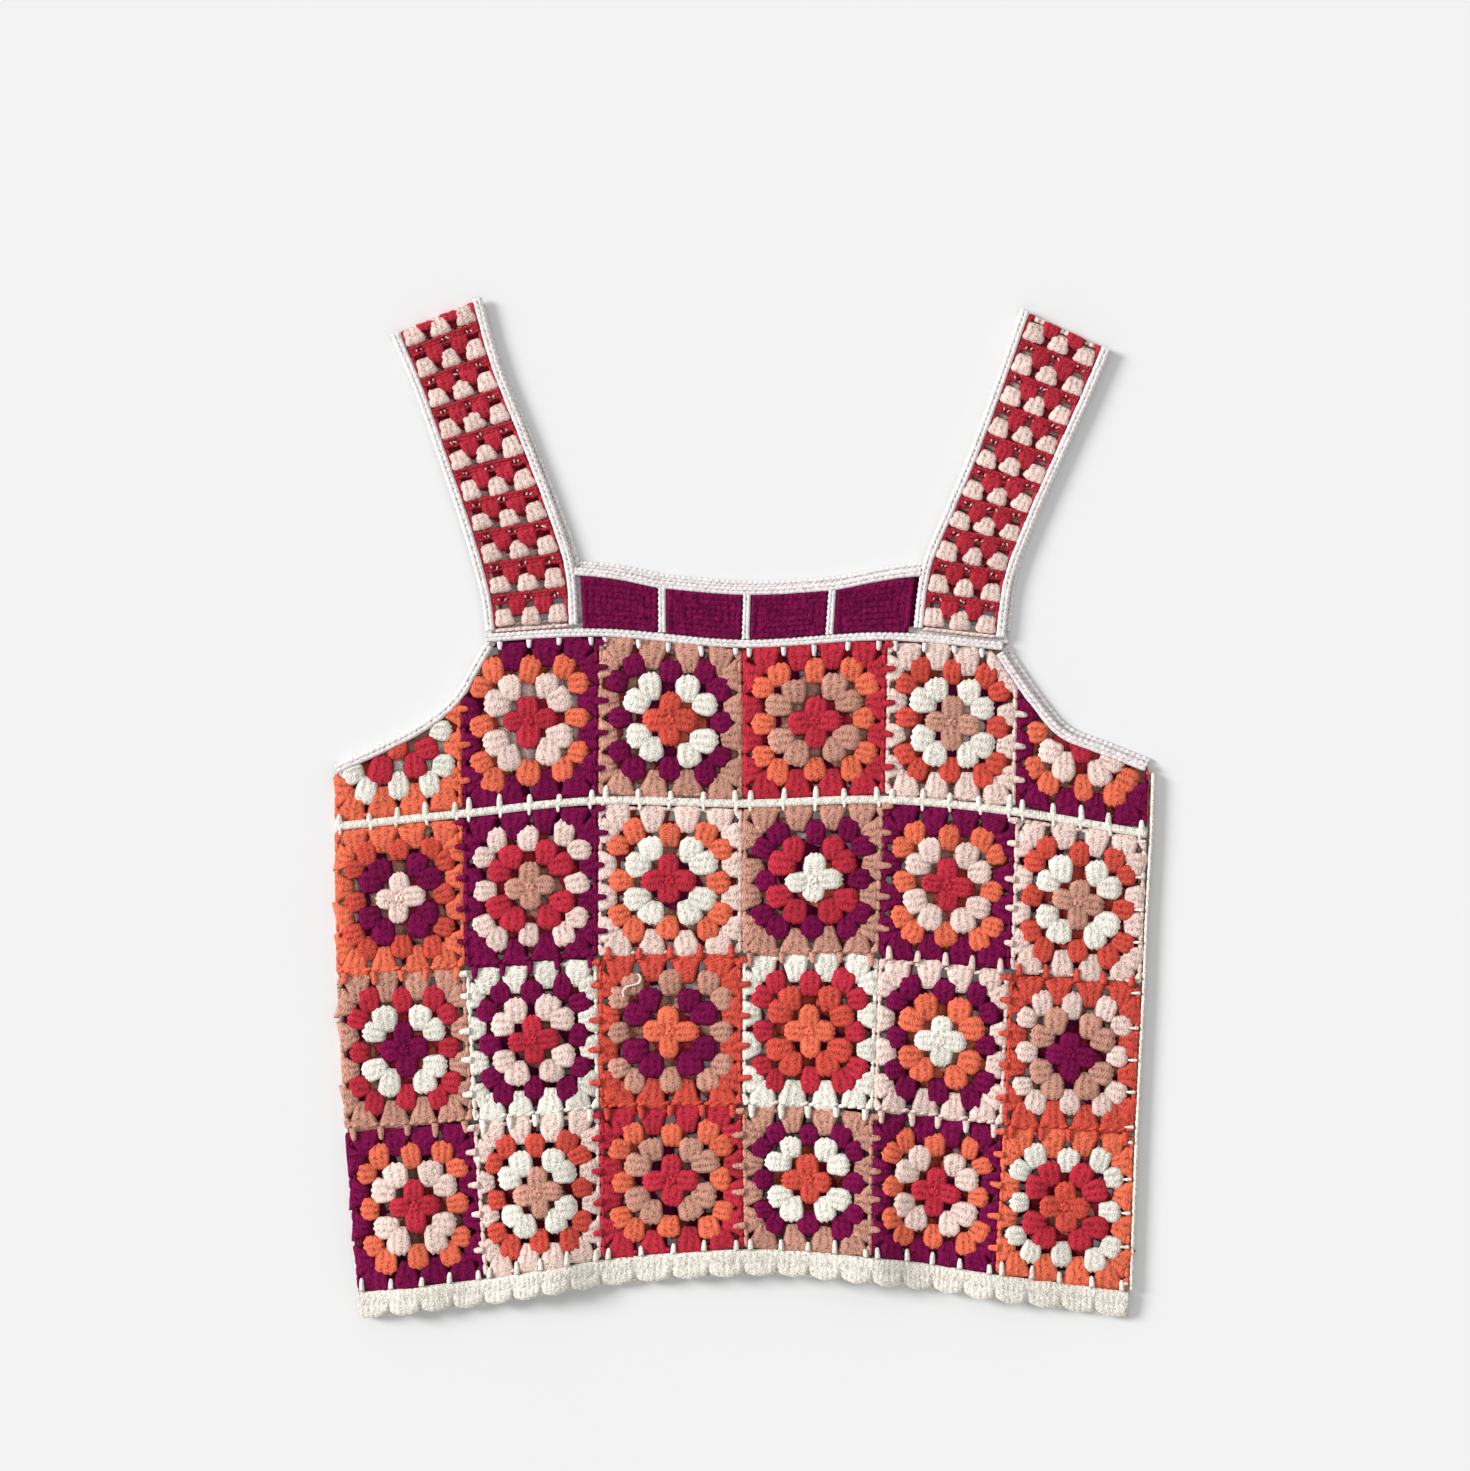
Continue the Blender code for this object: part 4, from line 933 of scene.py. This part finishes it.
# ---------------------------------------------------------------- shoulder straps
# Wide straps in alternate rows of pink and crimson, worked up from the joining row and folded over at the
# shoulder. The crimson clusters stand in the gaps between the pink ones, under chains across the strap.
STRAPS = {
    "left": (
        (-190.0, -176.5, -163.5, -151.0, -141.5, -138.5), (255.5, 223.5, 186.5, 149.5, 115.5, 93.5),
        (-141.0, -131.5, -115.5, -101.5, -91.0, -88.5), (276.0, 241.5, 200.5, 163.5, 130.0, 97.0)),
    "right": (
        (199.5, 186.5, 172.0, 157.5, 146.5, 142.0), (247.5, 217.5, 185.5, 152.5, 122.5, 90.0),
        (151.0, 136.5, 123.5, 110.5, 97.5, 92.5), (270.0, 228.5, 193.5, 162.5, 130.5, 95.5)),
}
STRAP_LENGTH, STRAP_WIDTH, FOLD_END, PARTING = 178.0, 52.0, 0.0206, 0.85
# Each strap's core, between its edgings, from near the fold down to near the joining row.
STRIPE_TOP, STRIPE_END = 0.004, 0.985
CORE_EDGE = (EDGING + 0.2) / STRAP_WIDTH
CORE_SHARE = 1 - 2 * CORE_EDGE
CORE_WIDTH, CORE_LENGTH = STRAP_WIDTH * CORE_SHARE, (STRIPE_END - STRIPE_TOP) * STRAP_LENGTH
# Pairs of a pink and a crimson row: how many are worked, how high one is, and how many pairs higher the
# back strap's rows lie.
STRIPE_ROWS = {"front": 10, "back": 9}
PAIR_HIGH = {"left": CORE_LENGTH / 9.6, "right": CORE_LENGTH / 9.8}
BACK_ROWS_UP = {"left": 0.7, "right": 0.45}


def on_strap(side, layer, across, along):
    """Plan points of a strap: across from 0 at its outer edge to 1 at its inner one.

    along runs from 0 at the fold to 1, as a share of each edge's own length.
    """
    steps = np.linspace(0.0, 5.0, 101)
    edges = []
    for xs, ys in (STRAPS[side][:2], STRAPS[side][2:]):
        far = distances(pairs(smooth(xs, steps), smooth(ys, steps)))
        place = np.interp(along, far / far[-1], steps)
        edges.append(pairs(smooth(xs, place), smooth(ys, place)))
    outer, inner = edges
    points = outer + (inner - outer) * np.asarray(across, float)[..., None]
    if layer == "back":
        parted = np.clip((np.asarray(along) - FOLD_END) / PARTING, 0, 1)
        points = points + np.asarray(BACK_SHIFT) * parted[..., None]
    return points


def in_stripes(side, layer, places):
    """Plan points of (millimetres across the strap's core, millimetres up from the lowest stripe)."""
    across = CORE_EDGE + CORE_SHARE * places[..., 0] / CORE_WIDTH
    along = STRIPE_END - np.minimum(places[..., 1], CORE_LENGTH) / STRAP_LENGTH
    return on_strap(side, layer, across, np.clip(along, FOLD_END if layer == "back" else 0.0, 1.0))


def stripe(side, layer, shares, tip, head, wide, bend, low, shape, chance, seed):
    """Clusters at shares across the core in every pair of rows, from the tip to the head of the pair."""
    fine, tall = layer == "front", TALL[layer]
    pair = PAIR_HIGH[side]
    x, y = np.meshgrid(shares, np.arange(STRIPE_ROWS[layer]), indexing="ij")
    place = pairs(x.ravel() * CORE_WIDTH, y.ravel() * pair)
    start = place + (0.0, tip * pair) + 0.3 * chance.standard_normal(place.shape)
    end = place + (0.0, head * pair) + 0.3 * chance.standard_normal(place.shape)
    size = 1 + 0.04 * chance.standard_normal(len(place))
    if not fine:
        start, end = start + (0.0, BACK_ROWS_UP[side] * pair), end + (0.0, BACK_ROWS_UP[side] * pair)
    start, end = in_stripes(side, layer, start), in_stripes(side, layer, end)
    # deep gives painted shade: a little on the front strap's crimson clusters, and much on all the back
    # strap's clusters, which lie under the front strap
    if fine:
        return stitches(
            start, end, (wide[0] * size, wide[1] * size), (0.85 * tall, tall), (low, low), shape, TREBLES,
            arch=0.2, bend=bend, deep=0.0 if shape is POPCORN else 0.15, seed=seed)
    return stitches(
        start, end, (1.5 * wide[0] * size, 1.4 * wide[1] * size), tall, 0.1, SHORT, deep=0.5, seed=seed)


def chains(side, layer, row, tall, seed):
    """Three chains of crimson loops that close a row, as one band from one long edge to the other.

    Its height has a ridge |sin| for each chain and a bump cos for each loop, every second chain half a loop
    on, and a pit above each cluster of the row. Its painted shade follows them: lighter on the ridges and
    loops, darker between them, darkest in the pits, and a little dark all over.
    """
    up = 0.0 if layer == "front" else BACK_ROWS_UP[side]
    share = np.linspace(0.0, 1.0, 13 if layer == "front" else 7)
    x = np.linspace(0.4, CORE_WIDTH - 0.4, 73 if layer == "front" else 25)[:, None] + 0 * share
    wave = 0.35 * np.sin(0.9 * x + row)
    y = (row + up + 0.74 + 0.31 * share) * PAIR_HIGH[side] + wave * (1.0 - share)
    ridge = np.abs(np.sin(3 * math.pi * share)) + 0 * x
    loop = np.cos(2 * math.pi * x / 3.4 + math.pi * np.floor(3 * share))
    from_cluster = (x / CORE_WIDTH * 3 - 0.5 - np.round(x / CORE_WIDTH * 3 - 0.5)) * CORE_WIDTH / 3
    pit = np.exp(-((from_cluster / 2.6) ** 2) - ((share - 0.42) / 0.24) ** 2)
    height = tall * (0.76 + 0.14 * ridge) + 0.2 * loop * ridge - 1.3 * pit
    height = np.where((share < 0.01) | (share > 0.99), 0.5 * tall, height)
    light = 0.56 + 0.26 * ridge + 0.08 * loop - 0.7 * pit
    points = in_stripes(side, layer, pairs(x, y))
    return band(points, height, light, pairs(3 * share - 0.5, x), seed=seed)


def on_strap_below(points):
    return np.full(len(points), FRONT_Z)


straps, strap_edgings = {}, {}
for side in ("left", "right"):
    for layer, under in (("back", on_table), ("front", on_strap_below)):
        fine, tall = layer == "front", TALL[layer]
        chance = np.random.default_rng(61 if side == "left" else 62)
        thirds, pinks = np.array([1, 2]) / 3, np.array([0.145, 0.5, 0.855])
        rows, pair = np.arange(STRIPE_ROWS[layer]), PAIR_HIGH[side]
        parts = [
            ("pink", stripe(side, layer, pinks, 0.6, 0.04, (9.8, 12.0), 0.06, 0.3, POPCORN, chance, 63)),
            ("crimson", stripe(side, layer, thirds, 0.34, 0.88, (9.8, 10.8), 0.0, 0.1, BLOCK, chance, 65)),
        ]
        # three chains of crimson loops close each row, and one stitch runs down each long edge beside it
        closed = range(STRIPE_ROWS["back"])
        parts += [("crimson", chains(side, layer, row, tall, 64 + row)) for row in closed]
        for x in (0.9, CORE_WIDTH - 0.9):
            foot, top = (in_stripes(side, layer, pairs(x, (rows + up) * pair)) for up in (0.02, 0.97))
            parts.append(("crimson", stitches(foot, top, 2.2, 0.65 * tall, 0.15, seed=67)))
        if fine:
            # two loops of each pink cluster show through the crimson chains above it, darkened by painted
            # shade
            x, y = np.meshgrid(pinks, rows[:-1], indexing="ij")
            place = pairs(x.ravel() * CORE_WIDTH, (y.ravel() + 0.87) * pair)
            for shift in (-1.5, 1.4):
                spot = place + (shift, 0.0) + 0.5 * chance.standard_normal(place.shape)
                reach = pairs(0.5 * chance.standard_normal(len(spot)), 0.4 + 0.6 * chance.random(len(spot)))
                one, two = in_stripes(side, layer, spot - reach), in_stripes(side, layer, spot + reach)
                parts.append(("pink", stitches(one, two, 1.1, 1.0, tall - 1.1, SHORT, deep=0.4, seed=72)))
        # a pink rope closes the strap at the joining row
        last = in_stripes(side, layer, pairs(np.linspace(0, CORE_WIDTH, 30), -0.9))
        parts.append(("pink", rope(last, 2.2, tall * 0.9, 0.1, 3.4, seed=68)))
        if fine:
            # the turn over the shoulder, two layers thick, in the colours of the row that it cuts
            for colour, places in (("crimson", (0, 3, 4, 7, 8, 11)), ("pink", (1, 2, 5, 6, 9, 10))):
                x = CORE_EDGE + CORE_SHARE * (np.array(places) + 0.5) / 12
                one, two = (on_strap(side, layer, x, along) for along in (0.001, 0.019))
                parts.append((colour, stitches(one, two, 4.4, (3.6, 5.0), -2.6, seed=69)))
        straps[side, layer] = cloth(f"strap_{side}_{layer}", parts, under)
        # the cream edgings, which work inwards from the strap's outer and inner edge
        for name, across, turn in (("outer", 0.0, 1), ("inner", 1.0, -1)):
            start = 0.001 if fine else FOLD_END
            path = on_strap(side, layer, across, np.linspace(start, 0.99, 60))
            way = turn * (1 if side == "left" else -1)
            parts = edging(path, EDGING, layer, way, 71)
            strap_edgings[side, layer, name] = cloth(
                f"strap_{side}_{layer}_edging_{name}", parts, under)

# ---------------------------------------------------------------- yoke
# Four solid plum rectangles worked in the round from a short middle line, set in a comb of cream edging
# under the neckline. A cream joining row runs under the yoke and both straps and catches row a.
NECKLINE = ((0.0, 0.12, 0.25, 0.5, 0.75, 0.9, 1.0), (130.0, 127.5, 122.5, 119.0, 121.5, 127.0, 129.5))
DIVIDER, YOKE_SEAM, RECTANGLES = 4.4, 4.5, 4
YOKE_WIDE, YOKE_HIGH = 181.0, 32.0  # between the straps, and from the joining row to the neckline
TREBLE, ROUND_DEEP = 3.1, 3.4  # one stitch along a round, and one round
YOKE_ENDS = np.array([0.0033, 1 - 0.0033])  # shares of the width, a seam's gap clear of the straps


def seam_top(x, layer):
    """y of the joining row's upper edge at x."""
    line = panel(layer, np.linspace(0, COLUMNS, 61), 0.0)
    return np.interp(x, line[:, 0], line[:, 1]) + 0.15 + YOKE_SEAM


def strap_side(side, layer, y):
    """x of a strap's inner edge at height y."""
    edge = on_strap(side, layer, 1.0, np.linspace(0.6, 1.0, 40))[::-1]
    return np.interp(y, edge[:, 1], edge[:, 0])


def on_yoke(layer, share, rise):
    """Plan points: share from the left strap (0) to the right one, rise from the joining row to the neck."""
    share, rise = np.broadcast_arrays(np.asarray(share, float), np.asarray(rise, float))
    shift = np.asarray(BACK_SHIFT if layer == "back" else (0.0, 0.0))
    place = np.interp(share, NECKLINE[0], np.arange(7))
    high = smooth(NECKLINE[1], place) + shift[1]
    first, last = STRAPS["left"][2][-1] + shift[0], STRAPS["right"][2][-1] + shift[0]
    low = seam_top(first + (last - first) * share, layer) + SEAM_GAP
    y = low + (high - low) * rise
    left, right = strap_side("left", layer, y), strap_side("right", layer, y)
    return pairs(left + (right - left) * share, y)


for layer, under in LAYERS:
    u = np.linspace(ARMHOLES["left"][0][-1] + SEAM_U, COLUMNS - ARMHOLES["right"][0][-1] - SEAM_U, 160)
    path = panel(layer, u, 0.0) + (0.0, YOKE_SEAM + 0.15)
    parts = edging(path, YOKE_SEAM, layer, -1.0, 81, pitch=3.1)
    if layer == "front":
        inside = join_places[(join_places > u[0] + 0.05) & (join_places < u[-1] - 0.05)]
        parts.append(("white", seam_stitches(layer, 0.0, -5.0, inside, seed=82)))
    cloth(f"yoke_seam_{layer}", parts, under)

tooth = 0.5 * DIVIDER / YOKE_WIDE
beside_tooth = tooth + 0.0016
top_rise = 1.0 - DIVIDER / YOKE_HIGH


def worked_round(layer, first, last, top, across, along, tall, seed):
    """A rectangle of the yoke worked in rounds, as a band along it.

    With d the distance in from its nearest edge and s the place along that edge, its height is the yarn's
    plus a ridge |sin| of d for each round and a ridge |cos| of s for each treble. Its painted shade is
    lighter on these ridges and darker between them, and the wool noise that roughens the height also
    varies its tone.
    """
    share, rise = np.meshgrid(np.linspace(first, last, along), np.linspace(0.0, top, across), indexing="ij")
    points = on_yoke(layer, share, rise)
    x = (share - first) * YOKE_WIDE
    y = rise * YOKE_HIGH
    wide, high = (last - first) * YOKE_WIDE, top * YOKE_HIGH
    sides = np.stack([x, wide - x, y, high - y])
    deep, nearest = sides.min(0), sides.argmin(0)
    place = np.where(nearest < 2, y, x)
    turn = np.floor(deep / ROUND_DEEP)
    stitch = place / TREBLE + 20.0 * nearest + 90.0 * turn
    post = np.abs(np.cos(math.pi * stitch))
    line = np.abs(np.sin(math.pi * (deep + 0.4) / ROUND_DEEP)) ** 0.6
    chance = np.random.default_rng(seed)
    wool = chance.standard_normal(deep.shape).clip(-1.5, 1.5)
    height = tall * (0.72 + 0.12 * line + 0.05 * post) + 0.25 * (turn % 2 == 0) + 0.16 * wool
    height = height - 0.9 * np.clip(1 - deep / 0.7, 0, 1)
    light = 0.62 + 0.3 * line + 0.04 * post + 0.12 * wool
    return band(points, height, light, pairs(stitch, deep), seed=seed, spread=0.1)


for number in range(RECTANGLES):
    first = max(number / RECTANGLES + beside_tooth, YOKE_ENDS[0])
    last = min((number + 1) / RECTANGLES - beside_tooth, YOKE_ENDS[1])
    parts = [("plum", worked_round("front", first, last, top_rise - 0.01, 26, 56, 3.0, 90 + number))]
    cloth(f"yoke_plum_{number + 1}", parts, on_back)

neck = on_yoke("front", np.linspace(*YOKE_ENDS, 120), 1.0)
parts = edging(neck, DIVIDER, "front", -1.0, 101)
for divider in range(1, RECTANGLES):
    middle = divider / RECTANGLES
    path = on_yoke("front", middle - tooth, np.linspace(top_rise, 0.0, 20))
    parts += edging(path, DIVIDER, "front", 1.0, 102 + divider)
yoke_frame = cloth("yoke_frame_front", parts, on_back)

parts = [("plum", worked_round("back", *YOKE_ENDS, top_rise, 14, 90, TALL["back"], 110))]
neck = on_yoke("back", np.linspace(*YOKE_ENDS, 120), 1.0)
parts += edging(neck, DIVIDER, "back", -1.0, 120)
yoke_back = cloth("yoke_back", parts, on_table)

# ---------------------------------------------------------------- cut of the back rows
# Every piece is crocheted cloth laid flat. The cut of each back row is worked out from its lie.
for row, made in enumerate(back_rows):
    flat_size, area = cut_of("back", row, 0, COLUMNS - 1, on_table)
